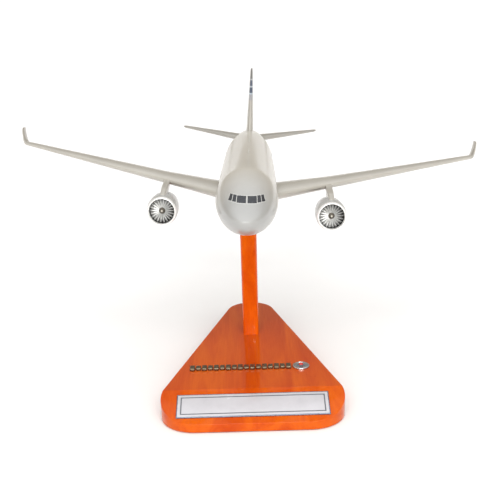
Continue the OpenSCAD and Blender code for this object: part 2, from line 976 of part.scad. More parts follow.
stand_base();
base_felt();
arm();
arm_screws();
arm_washers();
arm_dowels();
mounting_peg();
thrust_washer();
plate_back();
plate_face();
badge_bars();
ornament_disc();
ornament_star();
ornament_stud();
fuselage();
belly_fairing();
socket_bush();
wing(-1);  // wing_left
wing(1);  // wing_right
winglet(-1);  // winglet_left
winglet(1);  // winglet_right
wing_dowels();
flap_fairings(-1);  // flap_fairings_left
flap_fairings(1);  // flap_fairings_right
pylon(-1);  // pylon_left
pylon(1);  // pylon_right
nacelle(-1);  // nacelle_left
nacelle(1);  // nacelle_right
inlet_lip(-1);  // inlet_lip_left
inlet_lip(1);  // inlet_lip_right
fan(-1);  // fan_left
fan(1);  // fan_right
spinner(-1);  // spinner_left
spinner(1);  // spinner_right
fan_shaft(-1);  // fan_shaft_left
fan_shaft(1);  // fan_shaft_right
fan_bush(-1);  // fan_bush_left
fan_bush(1);  // fan_bush_right
exhaust_nozzle(-1);  // exhaust_nozzle_left
exhaust_nozzle(1);  // exhaust_nozzle_right
exhaust_plug(-1);  // exhaust_plug_left
exhaust_plug(1);  // exhaust_plug_right
stabiliser(-1);  // stabiliser_left
stabiliser(1);  // stabiliser_right
stabiliser_dowels();
fin();
fin_dowels();
cockpit_glazing();
blade_antennas();
tail_cone();
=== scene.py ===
import json
import math

import bmesh
import bpy
from mathutils import Matrix, Vector


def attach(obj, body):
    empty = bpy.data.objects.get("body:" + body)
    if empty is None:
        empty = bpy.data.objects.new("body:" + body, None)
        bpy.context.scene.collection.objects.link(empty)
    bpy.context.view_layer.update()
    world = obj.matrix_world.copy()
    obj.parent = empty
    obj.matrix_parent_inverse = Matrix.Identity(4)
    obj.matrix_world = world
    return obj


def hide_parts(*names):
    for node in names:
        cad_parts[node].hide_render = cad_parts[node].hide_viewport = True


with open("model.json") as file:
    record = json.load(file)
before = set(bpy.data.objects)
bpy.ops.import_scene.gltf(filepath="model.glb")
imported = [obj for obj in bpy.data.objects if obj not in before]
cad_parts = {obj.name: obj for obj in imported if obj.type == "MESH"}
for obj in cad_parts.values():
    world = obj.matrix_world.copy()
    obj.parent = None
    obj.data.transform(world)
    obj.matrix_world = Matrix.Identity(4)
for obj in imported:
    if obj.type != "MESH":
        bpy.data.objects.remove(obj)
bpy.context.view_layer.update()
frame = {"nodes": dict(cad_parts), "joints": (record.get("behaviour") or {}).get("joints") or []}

MM = 0.001
JOINTS = {joint["name"]: joint for joint in frame["joints"]}

# Driving sizes in millimetres, the same as in the CAD source.
FUSELAGE_LENGTH = 442.0
FUSELAGE_R = 21.1
NOSE_LENGTH = 62.5
NOSE_DROP = 4.9
TAIL_LENGTH = 152.0
PEG_STATION = 208.0
HALF_SPAN = 196.5
WING_ROOT_LE = 139.0
WING_ROOT_TE = 215.0
KINK_X = 64.5
KINK_TE = 225.0
WING_TIP_LE = 266.6
WING_TIP_TE = 284.5
WING_ROOT_Z = -9.3
WING_TIP_Z = 9.9
WINGLET_H = 12.6
STABILISER_SPAN = 68.3
FIN_HEIGHT = 78.3
ENGINE_X = 63.4
ENGINE_Z = -22.0
INLET_STATION = 125.6
NACELLE_R = 11.6
DUCT_R = 9.4
BLADE_COUNT = 22
TAIL_START = FUSELAGE_LENGTH - TAIL_LENGTH
TAIL_CONE_STATION = FUSELAGE_LENGTH - 14.0
TAIL_END_R = 2.2
TAIL_END_TOP = 12.5
HEAD_GAP = -26.1
SIDES = (-1, 1)
SIDE_NAME = {-1: "left", 1: "right"}


def mix(a, b, t):
    return a + (b - a) * t


def clamp(value, low=0.0, high=1.0):
    return max(low, min(high, value))


def smooth(t):
    t = clamp(t)
    return t * t * (3 - 2 * t)


# ---------------------------------------------------------------- frames

def aircraft_frame():
    """Matrix from aircraft millimetres (X right, Y station behind the nose, Z up) to the row frame."""
    swivel = JOINTS["aircraft_swivel"]
    up = Vector(swivel["axis"]).normalized()
    aft = Vector(JOINTS["fan_spin_left"]["axis"]).normalized()
    right = aft.cross(up).normalized()
    origin = Vector(swivel["pos_m"]) - up * HEAD_GAP * MM - aft * PEG_STATION * MM
    turn = Matrix((right, aft, up)).transposed().to_4x4()
    return Matrix.Translation(origin) @ turn @ Matrix.Scale(MM, 4)


AIRCRAFT = aircraft_frame()
STAND_X = JOINTS["aircraft_swivel"]["pos_m"][0] / MM
STAND = Matrix.Translation((STAND_X * MM, 0, 0)) @ Matrix.Scale(MM, 4)
# Matrix and body of the pieces of the airframe and of the stand
ON_AIRCRAFT = (AIRCRAFT, "aircraft")
ON_STAND = (STAND, "stand")


def engine_frame(side):
    """Matrix from engine millimetres (Z aft of the lip) to the row frame."""
    place = Matrix.Translation((side * ENGINE_X, INLET_STATION, ENGINE_Z))
    return AIRCRAFT @ place @ Matrix.Rotation(math.radians(-90), 4, "X")


# ---------------------------------------------------------------- mesh helpers

def build(name, part, where, material, replaces=(), sharp=32.0):
    """One piece from millimetre points and faces, in place and riding on its body, smooth
    except at its true sharp edges."""
    (verts, faces), (place, body) = part, where
    mesh = bpy.data.meshes.new(name)
    mesh.from_pydata([tuple(v) for v in verts], [], faces)
    mesh.validate()
    design = mesh.attributes.new("design", "FLOAT_VECTOR", "POINT")
    for item, v in zip(design.data, mesh.vertices):
        item.vector = v.co
    mesh.transform(place)
    work = bmesh.new()
    work.from_mesh(mesh)
    bmesh.ops.remove_doubles(work, verts=work.verts, dist=1e-7)
    bmesh.ops.recalc_face_normals(work, faces=work.faces)
    work.to_mesh(mesh)
    work.free()
    for face in mesh.polygons:
        face.use_smooth = True
    mesh.set_sharp_from_angle(angle=math.radians(sharp))
    piece = bpy.data.objects.new(name, mesh)
    bpy.context.scene.collection.objects.link(piece)
    mesh.materials.append(material)
    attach(piece, body)
    if replaces:
        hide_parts(*replaces)
    return piece


def loft(rings, closed_ends=True):
    """Points and faces that join equal rings."""
    sides = len(rings[0])
    verts = [p for ring in rings for p in ring]
    faces = []
    for r in range(len(rings) - 1):
        for i in range(sides):
            a, b = r * sides + i, r * sides + (i + 1) % sides
            faces.append((a, b, b + sides, a + sides))
    if closed_ends:
        last = (len(rings) - 1) * sides
        faces.append(tuple(range(sides - 1, -1, -1)))
        faces.append(tuple(last + i for i in range(sides)))
    return verts, faces


def lathe(profile, segments=96):
    """Points and faces of an outline of (radius, height) turned about Z; radius 0 closes it."""
    return loft([[(radius * math.cos(a), radius * math.sin(a), height) for a in around(segments)]
                 for radius, height in profile], closed_ends=False)


def join(parts):
    """Several (points, faces) as one."""
    verts, faces = [], []
    for some_verts, some_faces in parts:
        start = len(verts)
        verts.extend(some_verts)
        faces.extend(tuple(start + i for i in face) for face in some_faces)
    return verts, faces


def moved(part, matrix):
    verts, faces = part
    return [matrix @ Vector(v) for v in verts], faces


def mirrored(part, side):
    if side > 0:
        return part
    verts, faces = part
    return [(-v[0], v[1], v[2]) for v in verts], faces


def around(sides):
    """Equal steps of angle round a circle."""
    return [-2 * math.pi * i / sides for i in range(sides)]


def squarish(angle, power):
    """Point at an angle of a ring of unit size that is squarer the lower the power."""
    c, d = math.cos(angle), math.sin(angle)
    return math.copysign(abs(c) ** power, c), math.copysign(abs(d) ** power, d)


def sheet_shell(top, under, across, up):
    """Closes two equal grids of points into one thin solid."""
    half, step = len(top), across + 1
    faces = []
    for j in range(up):
        for i in range(across):
            a = j * step + i
            faces.append((a, a + 1, a + 1 + step, a + step))
            faces.append((half + a, half + a + step, half + a + 1 + step, half + a + 1))
    rim = list(range(step)) + [j * step + across for j in range(1, up + 1)]
    rim += [up * step + i for i in range(across - 1, -1, -1)]
    rim += [j * step for j in range(up - 1, 0, -1)]
    for a, b in zip(rim, rim[1:] + rim[:1]):
        faces.append((a, half + a, half + b, b))
    return top + under, faces


def prism_walls(low, high):
    """Side faces between two equal closed rows of points or indices."""
    count = len(low)
    return [(low[i], low[(i + 1) % count], high[(i + 1) % count], high[i]) for i in range(count)]


def taken(work):
    """Points and faces of a bmesh, which is then freed."""
    work.verts.index_update()
    verts = [tuple(v.co) for v in work.verts]
    faces = [tuple(v.index for v in f.verts) for f in work.faces]
    work.free()
    return verts, faces


def bevelled_box(low, high, bevel, segments=2):
    """A box with rounded edges."""
    work = bmesh.new()
    bmesh.ops.create_cube(work, size=1.0)
    size = [high[i] - low[i] for i in range(3)]
    middle = [(high[i] + low[i]) / 2 for i in range(3)]
    for v in work.verts:
        v.co = Vector([middle[i] + v.co[i] * size[i] for i in range(3)])
    bmesh.ops.bevel(work, geom=work.edges[:], offset=bevel, segments=segments,
                    profile=0.5, affect="EDGES")
    return taken(work)


# ---------------------------------------------------------------- node helpers

class Nodes:
    """Short way to write a material's nodes."""

    def __init__(self, name):
        self.material = bpy.data.materials.new(name)
        self.material.use_nodes = True
        self.tree = self.material.node_tree
        self.shader = self.tree.nodes["Principled BSDF"]

    def feed(self, socket, value):
        """Gives an input a fixed value, or joins it to another node's output."""
        if isinstance(value, bpy.types.NodeSocket):
            self.tree.links.new(value, socket)
        else:
            socket.default_value = value

    def add(self, kind, inputs, **settings):
        node = self.tree.nodes.new(kind)
        for key, value in settings.items():
            setattr(node, key, value)
        for key, value in inputs.items():
            self.feed(node.inputs[key], value)
        return node

    def set(self, **values):
        for key, value in values.items():
            self.feed(self.shader.inputs[key.replace("_", " ")], value)

    def coords(self, scale=(1000, 1000, 1000)):
        """Object coordinates in millimetres, times scale / 1000."""
        source = self.add("ShaderNodeTexCoord", {}).outputs["Object"]
        return self.add("ShaderNodeMapping", {"Vector": source, "Scale": scale}).outputs["Vector"]

    def design(self):
        """X, Y and Z of the piece's own design coordinates in millimetres."""
        place = self.add("ShaderNodeAttribute", {}, attribute_name="design").outputs["Vector"]
        return self.add("ShaderNodeSeparateXYZ", {"Vector": place}).outputs

    def noise(self, vector, scale, detail=4.0, roughness=0.55, distortion=0.0):
        return self.add("ShaderNodeTexNoise", {
            "Vector": vector, "Scale": scale, "Detail": detail, "Roughness": roughness,
            "Distortion": distortion}).outputs["Fac"]

    def ramp(self, factor, stops, interpolation="LINEAR"):
        node = self.add("ShaderNodeValToRGB", {"Fac": factor})
        node.color_ramp.interpolation = interpolation
        elements = node.color_ramp.elements
        while len(elements) < len(stops):
            elements.new(0.5)
        for element, (place, colour) in zip(elements, stops):
            element.position = place
            element.color = (*colour, 1.0)
        return node.outputs["Color"]

    def map(self, value, low, high, to_low=0.0, to_high=1.0):
        return self.add("ShaderNodeMapRange", {
            "Value": value, "From Min": low, "From Max": high, "To Min": to_low,
            "To Max": to_high}).outputs["Result"]

    def math(self, operation, *values):
        return self.add("ShaderNodeMath", dict(enumerate(values)),
                        operation=operation).outputs["Value"]

    def mix(self, factor, a, b):
        node = self.add("ShaderNodeMix", {"Factor": factor}, data_type="RGBA")
        for key, value in (("A", a), ("B", b)):
            socket = [s for s in node.inputs if s.name == key and s.type == "RGBA"][0]
            self.feed(socket, (*value, 1.0) if isinstance(value, tuple) else value)
        return [s for s in node.outputs if s.type == "RGBA"][0]

    def bump(self, height, strength, distance=0.0002):
        node = self.add("ShaderNodeBump", {"Height": height, "Strength": strength,
                                           "Distance": distance})
        self.set(Normal=node.outputs["Normal"])


# ---------------------------------------------------------------- materials

def tinted(colour, gain):
    return tuple(channel * gain for channel in colour)


def silver_lacquer(name, gain=1.0, nose_reflection_gain=1.0, tail_bands=False):
    """Silver-grey pearl lacquer on carved wood, cooler at the nose and warmer behind it; the cooler
    nose tone is a painted reflection of the room in front, and gain and nose_reflection_gain set
    painted light levels.
    """
    n = Nodes(name)
    place = n.coords()
    cloud = n.noise(place, 0.035, 3.0)
    flake = n.noise(place, 9.0, 2.0, 0.7)
    warm = n.ramp(cloud, [(0.3, tinted((0.475, 0.455, 0.41), gain)),
                          (0.7, tinted((0.53, 0.51, 0.46), gain))])
    cool = n.ramp(cloud, [(0.3, tinted((0.425, 0.43, 0.425), nose_reflection_gain)),
                          (0.7, tinted((0.47, 0.475, 0.47), nose_reflection_gain))])
    parts = n.design()
    # Painted reflection: from the nose tip to about 60 mm back the lacquer turns to the cooler nose
    # tone, standing in for the nose reflecting the room in front.
    colour = n.mix(n.map(parts["Y"], 18.0, 60.0), cool, warm)
    colour = n.mix(n.map(flake, 0.35, 0.65, 0.0, 0.14), colour, (0.66, 0.65, 0.62))
    if tail_bands:
        band = n.ramp(n.map(parts["Z"], 40.0, 80.0), [
            (0.0, (0.34, 0.345, 0.37)), (0.33, (0.45, 0.52, 0.58)), (0.37, (0.055, 0.08, 0.13)),
            (0.50, (0.45, 0.50, 0.55)), (0.535, (0.07, 0.09, 0.14)), (0.67, (0.42, 0.44, 0.46)),
            (0.70, (0.17, 0.17, 0.165)),
        ], "CONSTANT")
        colour = n.mix(n.math("GREATER_THAN", parts["Z"], 48.0), colour, band)
    n.set(Base_Color=colour, Roughness=n.map(cloud, 0.3, 0.7, 0.30, 0.40), Metallic=0.2,
          Coat_Weight=0.4, Coat_Roughness=0.08, Coat_IOR=1.45)
    n.bump(n.noise(place, 0.7, 2.0), 0.05)
    return n.material


def lacquered_wood(name, across, gain=1.0):
    """Cherry-red stained hardwood under a thick clear gloss lacquer; the grain runs along
    the axis whose scale is 1 in across."""
    n = Nodes(name)

    def along(stretch):
        return n.coords(tuple(stretch if scale == 1 else scale for scale in across))

    bands = n.noise(along(90), 0.055, 5.0, 0.6, 0.8)
    fibre = n.noise(along(26), 1.3, 6.0, 0.65)
    pores = n.noise(along(60), 4.5, 2.0, 0.5)
    # gain lightens or darkens the whole wood colour; the arm's lighter copy uses it as painted light.
    colour = n.ramp(bands, [
        (0.25, tinted((0.50, 0.048, 0.001), gain)), (0.45, tinted((0.62, 0.084, 0.002), gain)),
        (0.60, tinted((0.70, 0.118, 0.002), gain)), (0.80, tinted((0.55, 0.062, 0.001), gain)),
    ])
    colour = n.mix(n.map(fibre, 0.35, 0.7, 0.0, 0.22), colour, (0.40, 0.028, 0.002))
    colour = n.mix(n.map(pores, 0.62, 0.75, 0.0, 0.3), colour, (0.22, 0.015, 0.002))
    n.set(Base_Color=colour, Roughness=n.map(fibre, 0.3, 0.7, 0.30, 0.42),
          Specular_IOR_Level=0.04, Coat_Weight=1.0, Coat_Roughness=0.03, Coat_IOR=1.27)
    n.bump(n.noise(n.coords(), 0.25, 2.0), 0.03)
    return n.material


def metal(name, colour, roughness, grain=(1000, 1000, 1000), scale=2.0, spread=0.08, metallic=1.0):
    """Turned or brushed metal: fine streaks in colour, roughness and surface."""
    n = Nodes(name)
    streak = n.noise(n.coords(grain), scale, 4.0, 0.6)
    dark = tuple(c * 0.82 for c in colour)
    n.set(Base_Color=n.ramp(streak, [(0.3, dark), (0.7, colour)]), Metallic=metallic,
          Roughness=n.map(streak, 0.3, 0.7, roughness - spread / 2, roughness + spread / 2))
    n.bump(streak, 0.04)
    return n.material


def spinner_paint():
    """Dark grey spinner with a painted highlight: a pale dot at its tip."""
    n = Nodes("spinner_paint")
    x, y = n.design()[:2]
    radius = n.math("SQRT", n.math("ADD", n.math("MULTIPLY", x, x), n.math("MULTIPLY", y, y)))
    wear = n.noise(n.coords(), 1.2, 3.0)
    paint = n.ramp(wear, [(0.3, (0.15, 0.135, 0.11)), (0.7, (0.22, 0.20, 0.165))])
    # Painted highlight: a pale dot at the tip of the spinner.
    tip_highlight = n.math("LESS_THAN", radius, 0.8)
    n.set(Base_Color=n.mix(tip_highlight, paint, (0.70, 0.66, 0.58)), Metallic=0.5,
          Roughness=n.map(wear, 0.3, 0.7, 0.28, 0.40), Coat_Weight=0.4, Coat_Roughness=0.1)
    return n.material


def gloss(name, light, dark, scale=0.3, roughness=0.18, coat=0.5):
    """Gloss paint or plastic with slight mottling."""
    n = Nodes(name)
    mottle = n.noise(n.coords(), scale, 4.0)
    n.set(Base_Color=n.ramp(mottle, [(0.3, dark), (0.7, light)]), Coat_Weight=coat,
          Roughness=n.map(mottle, 0.3, 0.7, roughness * 0.85, roughness * 1.25),
          Coat_Roughness=0.06)
    return n.material


def felt():
    """Short dark green felt."""
    n = Nodes("felt")
    hair = n.noise(n.coords(), 3.0, 6.0, 0.7)
    n.set(Base_Color=n.ramp(hair, [(0.3, (0.02, 0.035, 0.025)), (0.7, (0.05, 0.08, 0.06))]),
          Roughness=0.95, Sheen_Weight=0.4, Sheen_Roughness=0.5)
    n.bump(hair, 0.4, 0.0003)
    return n.material


def bare_wood():
    """Pale beech of the hidden dowels."""
    n = Nodes("bare_wood")
    fibre = n.noise(n.coords((300, 1000, 1000)), 1.5, 5.0)
    n.set(Base_Color=n.ramp(fibre, [(0.3, (0.42, 0.27, 0.15)), (0.7, (0.60, 0.43, 0.27))]),
          Roughness=0.7)
    n.bump(fibre, 0.2)
    return n.material


# Painted light and shade: the same silver lacquer in lit and shaded copies, lighter on the body and
# cowls, darker on the wings, fin and stabilisers, with a darker painted-reflection nose on the body.
SILVER_BODY = silver_lacquer("silver_lacquer_body", 1.2, 0.84)
SILVER = silver_lacquer("silver_lacquer_wing", 0.88)
SILVER_COWL = silver_lacquer("silver_lacquer_cowl", 1.05)
SILVER_STABILISER = silver_lacquer("silver_lacquer_stabiliser", 0.62)
SILVER_TAIL = silver_lacquer("silver_lacquer_tail", 0.82, tail_bands=True)
# The arm's copy of the wood lacquer has upright grain and is lighter (gain 1.14 against 0.92) to make
# up for the aircraft's shadow on it: painted light.
WOOD = lacquered_wood("stand_lacquer", (1000, 1, 1000), 0.92)
WOOD_ARM = lacquered_wood("arm_lacquer", (1000, 1000, 1), 1.14)
STEEL = metal("steel", (0.62, 0.62, 0.64), 0.24, (1000, 1000, 200), 3.0)
BRASS = metal("brass", (0.78, 0.56, 0.25), 0.22)
CHROME = metal("lip_metal", (0.92, 0.92, 0.91), 0.3, scale=1.0, spread=0.05, metallic=0.35)
FAN_METAL = metal("fan_metal", (0.80, 0.81, 0.80), 0.34, scale=1.5, metallic=0.55)
DARK_METAL = metal("dark_metal", (0.16, 0.155, 0.15), 0.38)
TAIL_METAL = metal("tail_metal", (0.34, 0.335, 0.32), 0.34)
# Painted shade: near-black for the recessed faces inside the intake duct and the rear slot of the
# cowl.
DUCT_PAINTED_SHADE = gloss("duct_painted_shade", (0.035, 0.035, 0.033), (0.015, 0.015, 0.014), 0.8, 0.5, 0.0)
PEWTER = metal("pewter", (0.23, 0.19, 0.13), 0.34, scale=1.2, spread=0.12)
# Painted shade: the plate's silver metal is given the darker blue-grey of its shaded rim.
PLATE_METAL = metal("plate_metal", (0.26, 0.32, 0.42), 0.28, (200, 1000, 1000), 4.0)
ORNAMENT_METAL = metal("ornament_metal", (0.70, 0.71, 0.73), 0.2, scale=1.5)
SPINNER = spinner_paint()
GLAZING = gloss("glazing", (0.030, 0.033, 0.040), (0.015, 0.017, 0.022), 0.5, 0.2, 0.3)
PALE_PAINT = gloss("pale_paint", (0.60, 0.60, 0.58), (0.55, 0.55, 0.53), 0.4, 0.3, 0.3)
LINE_PAINT = gloss("line_paint", (0.15, 0.16, 0.18), (0.10, 0.11, 0.13), 0.6, 0.35, 0.2)
PLATE_WHITE = gloss("plate_print", (0.555, 0.55, 0.585), (0.50, 0.495, 0.53), 0.08, 0.22, 0.2)
RED = gloss("red_enamel", (0.58, 0.035, 0.03), (0.44, 0.02, 0.02), 0.8, 0.14, 1.0)
FELT = felt()
BARE = bare_wood()


# ---------------------------------------------------------------- fuselage

CROWN_TAPER, KEEL_TAPER, WIDTH_TAPER = 2.4, 1.55, 1.75
BROW_BULGE = 0.12
# Radius and depth of the steps of the hollow outlet in the tail's end
OUTLET_STEPS = ((1.75, 0.0), (1.4, 0.3), (1.3, 3.5))
BELLY_START, BELLY_END = 116.0, 266.0
BELLY_END_W, BELLY_FULL_W = 14.0, 22.6
BELLY_END_LOW, BELLY_FULL_LOW = -14.0, -23.0
BELLY_MIDDLE = -8.0


def round_nose(t):
    return math.sqrt(max(0.0, 1 - (1 - t) ** 2))


def brow(t):
    return t * (2 - t) + BROW_BULGE * math.sqrt(t) * (1 - t) ** 4


def section(s):
    """Half width, crown, waist and keel of the fuselage at a station."""
    if s < NOSE_LENGTH:
        t = clamp(s / NOSE_LENGTH, 1e-5, 1.0)
        return (FUSELAGE_R * round_nose(t), mix(-NOSE_DROP, FUSELAGE_R, brow(t)),
                mix(-NOSE_DROP, 0.0, brow(t)), mix(-NOSE_DROP, -FUSELAGE_R, round_nose(t)))
    t = max(0.0, (s - TAIL_START) / TAIL_LENGTH)
    crown = mix(FUSELAGE_R, TAIL_END_TOP, t ** CROWN_TAPER)
    keel = mix(-FUSELAGE_R, TAIL_END_TOP - 2 * TAIL_END_R, t ** KEEL_TAPER)
    return mix(FUSELAGE_R, TAIL_END_R, t ** WIDTH_TAPER), crown, (crown + keel) / 2, keel


def waist_z(s):
    return section(s)[2]


def skin_point(s, angle, proud=0.0):
    """Point on the fuselage at a station, angle from +X towards the crown, in radians."""
    half_width, crown, waist, keel = section(s)
    reach = crown - waist if math.sin(angle) >= 0 else waist - keel
    return Vector(((half_width + proud) * math.cos(angle), s,
                   waist + (reach + proud) * math.sin(angle)))


def fuselage_ring(s, sides):
    return [skin_point(s, a) for a in around(sides)]


def make_fuselage():
    nose = [NOSE_LENGTH * (i / 56) ** 2 for i in range(57)]
    middle = [mix(NOSE_LENGTH, TAIL_START, i / 30) for i in range(1, 30)]
    tail = [mix(TAIL_START, TAIL_CONE_STATION, i / 60) for i in range(61)]
    rings = [fuselage_ring(s, 128) for s in nose + middle + tail]
    build("fuselage_body", loft(rings), ON_AIRCRAFT, SILVER_BODY, ["fuselage"])


def make_tail_cone():
    """The tip of the tail, with a hollow outlet in its end."""
    sides = 64
    rings = [fuselage_ring(mix(TAIL_CONE_STATION, FUSELAGE_LENGTH, i / 14), sides)
             for i in range(15)]
    end_z = TAIL_END_TOP - TAIL_END_R
    for radius, back in OUTLET_STEPS:
        rings.append([Vector((radius * math.cos(a), FUSELAGE_LENGTH - back,
                              end_z + radius * math.sin(a))) for a in around(sides)])
    build("tail_cone_tip", loft(rings), ON_AIRCRAFT, TAIL_METAL, ["tail_cone"])


def fairing_ring(t, sides):
    """Section of the belly fairing at a fraction t of its length."""
    swell = math.sqrt(math.sin(math.pi * t))
    width = mix(BELLY_END_W, BELLY_FULL_W, swell)
    depth = BELLY_MIDDLE - mix(BELLY_END_LOW, BELLY_FULL_LOW, swell)
    return [Vector((width * c, mix(BELLY_START, BELLY_END, t), BELLY_MIDDLE + depth * d))
            for c, d in (squarish(a, 0.8) for a in around(sides))]


def make_belly_fairing():
    rings = [fairing_ring(0.001 + 0.998 * i / 90, 120) for i in range(91)]
    build("belly_fairing_skin", loft(rings), ON_AIRCRAFT, SILVER_BODY,
          ["belly_fairing"])


# ---------------------------------------------------------------- wings and tail

WING_ROOT_T, WING_TIP_T, WINGLET_TIP_T = 0.155, 0.15, 0.1
WING_CAMBER = 0.012
WING_ROOT_SET, WING_TIP_SET = 2.7, 0.1    # how far the trailing edge hangs below the leading edge
WINGLET_OUT, WINGLET_LE_SWEEP, WINGLET_TE_SWEEP = 7.2, 17.5, 11.5
WINGLET_LEAN = math.radians(65)
TAILPLANE_T, FIN_T = 0.15, 0.1
# Rounded tips begin at these fractions of the span
STABILISER_ROUND, FIN_ROUND = 0.96, 0.965
TIP_SWEEP = 2.5
FIN_FILLET = 9.0
FAIRING_PLACES = (42.0, 88.0, 122.0)
FAIRING_R = 1.9


def build_side(name, part, side, node, material):
    """One lacquered piece of a left and right pair, from the right-hand part."""
    tag = "_" + SIDE_NAME[side]
    build(name + tag, mirrored(part, side), ON_AIRCRAFT, material, [node + tag])


def foil_half(f, t):
    """Half thickness of the usual four-digit section at a chord fraction."""
    return 5 * t * (0.2969 * math.sqrt(f) - 0.126 * f - 0.3516 * f ** 2
                    + 0.2843 * f ** 3 - 0.1036 * f ** 4)


def foil(t, camber, count):
    """Closed section as (chord fraction, height / chord), from the trailing edge."""
    out = []
    for i in range(count):
        a = 2 * math.pi * i / count
        f = (1 + math.cos(a)) / 2
        half = max(foil_half(f, t), 0.0)
        out.append((f, 4 * camber * f * (1 - f) + (half if math.sin(a) >= 0 else -half)))
    return out


def wing_ring(x, le, te, le_z, te_z, t, camber=0.0, count=72):
    return [Vector((x, mix(le, te, f), mix(le_z, te_z, f) + h * (te - le)))
            for f, h in foil(t, camber, count)]


def span_t(x):
    return (x - FUSELAGE_R) / (HALF_SPAN - FUSELAGE_R)


def wing_le(x):
    return mix(WING_ROOT_LE, WING_TIP_LE, span_t(x))


def wing_te(x):
    """Trailing edge, straight on each side of the kink."""
    inner = mix(WING_ROOT_TE, KINK_TE, (x - FUSELAGE_R) / (KINK_X - FUSELAGE_R))
    outer = mix(KINK_TE, WING_TIP_TE, (x - KINK_X) / (HALF_SPAN - KINK_X))
    return max(inner, outer)


def wing_le_z(x):
    return mix(WING_ROOT_Z, WING_TIP_Z, span_t(x))


def wing_te_z(x):
    return mix(WING_ROOT_Z - WING_ROOT_SET, WING_TIP_Z - WING_TIP_SET, span_t(x))


def make_wing(side):
    stations = [mix(12.0, FUSELAGE_R, i / 3) for i in range(3)]
    stations += [mix(FUSELAGE_R, KINK_X, i / 16) for i in range(16)]
    stations += [mix(KINK_X, HALF_SPAN, i / 36) for i in range(37)]
    rings = [wing_ring(x, wing_le(x), wing_te(x), wing_le_z(x), wing_te_z(x),
                       mix(WING_ROOT_T, WING_TIP_T, span_t(x)), WING_CAMBER) for x in stations]
    build_side("wing_skin", loft(rings), side, "wing", SILVER)


def make_winglet(side):
    rings = []
    steps = 26
    for i in range(steps + 1):
        u = i / steps
        rounding = 2.2 * (clamp(u - 0.9) / 0.1) ** 2
        le = WING_TIP_LE + WINGLET_LE_SWEEP * u ** 1.1 + rounding
        te = WING_TIP_TE + WINGLET_TE_SWEEP * u
        out = HALF_SPAN + WINGLET_OUT * u ** 0.75
        rise = WING_TIP_Z + WINGLET_H * u ** 1.6
        ring = []
        for f, h in foil(mix(WING_TIP_T, WINGLET_TIP_T, u), WING_CAMBER * (1 - u), 48):
            thick = h * (te - le)
            ring.append(Vector((out - thick * math.sin(WINGLET_LEAN * u), mix(le, te, f),
                                rise - WING_TIP_SET * f + thick * math.cos(WINGLET_LEAN * u))))
        rings.append(ring)
    build_side("winglet_blade", loft(rings), side, "winglet", SILVER)


def tip_steps(count, last):
    """Spanwise fractions, closer together at the rounded tip."""
    return [last * i / count for i in range(count)] + [mix(last, 1.0, i / 8) for i in range(9)]


def make_stabiliser(side):
    rings = []
    for u in tip_steps(24, STABILISER_ROUND):
        v = clamp((u - STABILISER_ROUND) / (1 - STABILISER_ROUND))
        x, z = mix(6.0, STABILISER_SPAN, u), mix(10.4, 16.8, u)
        le = mix(370.0, 416.0, u) + TIP_SWEEP * v * v
        te = mix(414.0, 430.0, u) - v * v
        rings.append(wing_ring(x, le, te, z, z, TAILPLANE_T * (1 - 0.25 * v * v), 0.0, 56))
    build_side("stabiliser_skin", loft(rings), side, "stabiliser", SILVER_STABILISER)


def make_fin():
    rings = []
    for u in tip_steps(30, FIN_ROUND):
        v = clamp((u - FIN_ROUND) / (1 - FIN_ROUND))
        fillet = FIN_FILLET * max(0.0, 1 - u / 0.3) ** 2
        le = mix(345.0, 406.0, u) + TIP_SWEEP * v * v - fillet
        te = mix(419.0, 427.0, u) - 0.8 * v * v
        rings.append([
            Vector((-h * (te - le - fillet), mix(le, te, f), mix(12.0, FIN_HEIGHT, u)))
            for f, h in foil(FIN_T * (1 - 0.25 * v * v), 0.0, 64)
        ])
    build("fin_skin", loft(rings), ON_AIRCRAFT, SILVER_TAIL, ["fin"])


def make_flap_fairings(side):
    """Canoe-shaped fairings under the flaps."""
    parts = []
    for x in FAIRING_PLACES:
        chord = wing_te(x) - wing_le(x)
        start, length = wing_te(x) - 0.42 * chord, 0.5 * chord + 6
        rings = []
        for i in range(31):
            t = 0.004 + 0.992 * i / 30
            r = FAIRING_R * math.sqrt(math.sin(math.pi * t))
            rings.append([Vector((x + 0.8 * r * math.cos(a), start + length * (t - 0.3),
                                  wing_te_z(x) - FAIRING_R + r * math.sin(a) + 0.8 * t))
                          for a in around(24)])
        parts.append(loft(rings))
    build_side("flap_fairing_set", join(parts), side, "flap_fairings", SILVER)


# ---------------------------------------------------------------- engines

LIP_LENGTH = 4.0
LIP_R = 9.9
COWL_FRONT_R = 10.35
COWL_FULL = 12.0
COWL_LENGTH = 38.0
COWL_TAPER = 1.9
SEAMS = (14.0, 27.0)
BULKHEAD = 15.0
SLOT_DEPTH = 4.0
FAN_STATION = 7.5
FAN_DEPTH = 3.6
FAN_R = DUCT_R - 0.35
HUB_R = 2.4
SPINNER_LENGTH = 2.95
CORE_R, CORE_END_R, CORE_LENGTH = 7.6, 5.0, 16.0
PLUG_R, PLUG_START, PLUG_END = 3.1, 50.25, 61.0
PYLON_HALF = 3.0


def build_engine(name, part, side, node, material, on_rotor=False, sharp=32.0):
    """One piece of an engine, fixed to the airframe or to the fan's rotor."""
    tag = "_" + SIDE_NAME[side]
    body = "fan_rotor" + tag if on_rotor else "aircraft"
    return build(name + tag, part, (engine_frame(side), body), material, [node + tag], sharp)


def cowl_r(d):
    if d < COWL_FULL:
        return mix(COWL_FRONT_R, NACELLE_R, math.sin(math.pi / 2 * d / COWL_FULL))
    return NACELLE_R - COWL_TAPER * ((d - COWL_FULL) / (COWL_LENGTH - COWL_FULL)) ** 2


def groove(d):
    """Depth of the two seams round the cowl."""
    return sum(0.14 for seam in SEAMS if abs(d - seam) < 0.12)


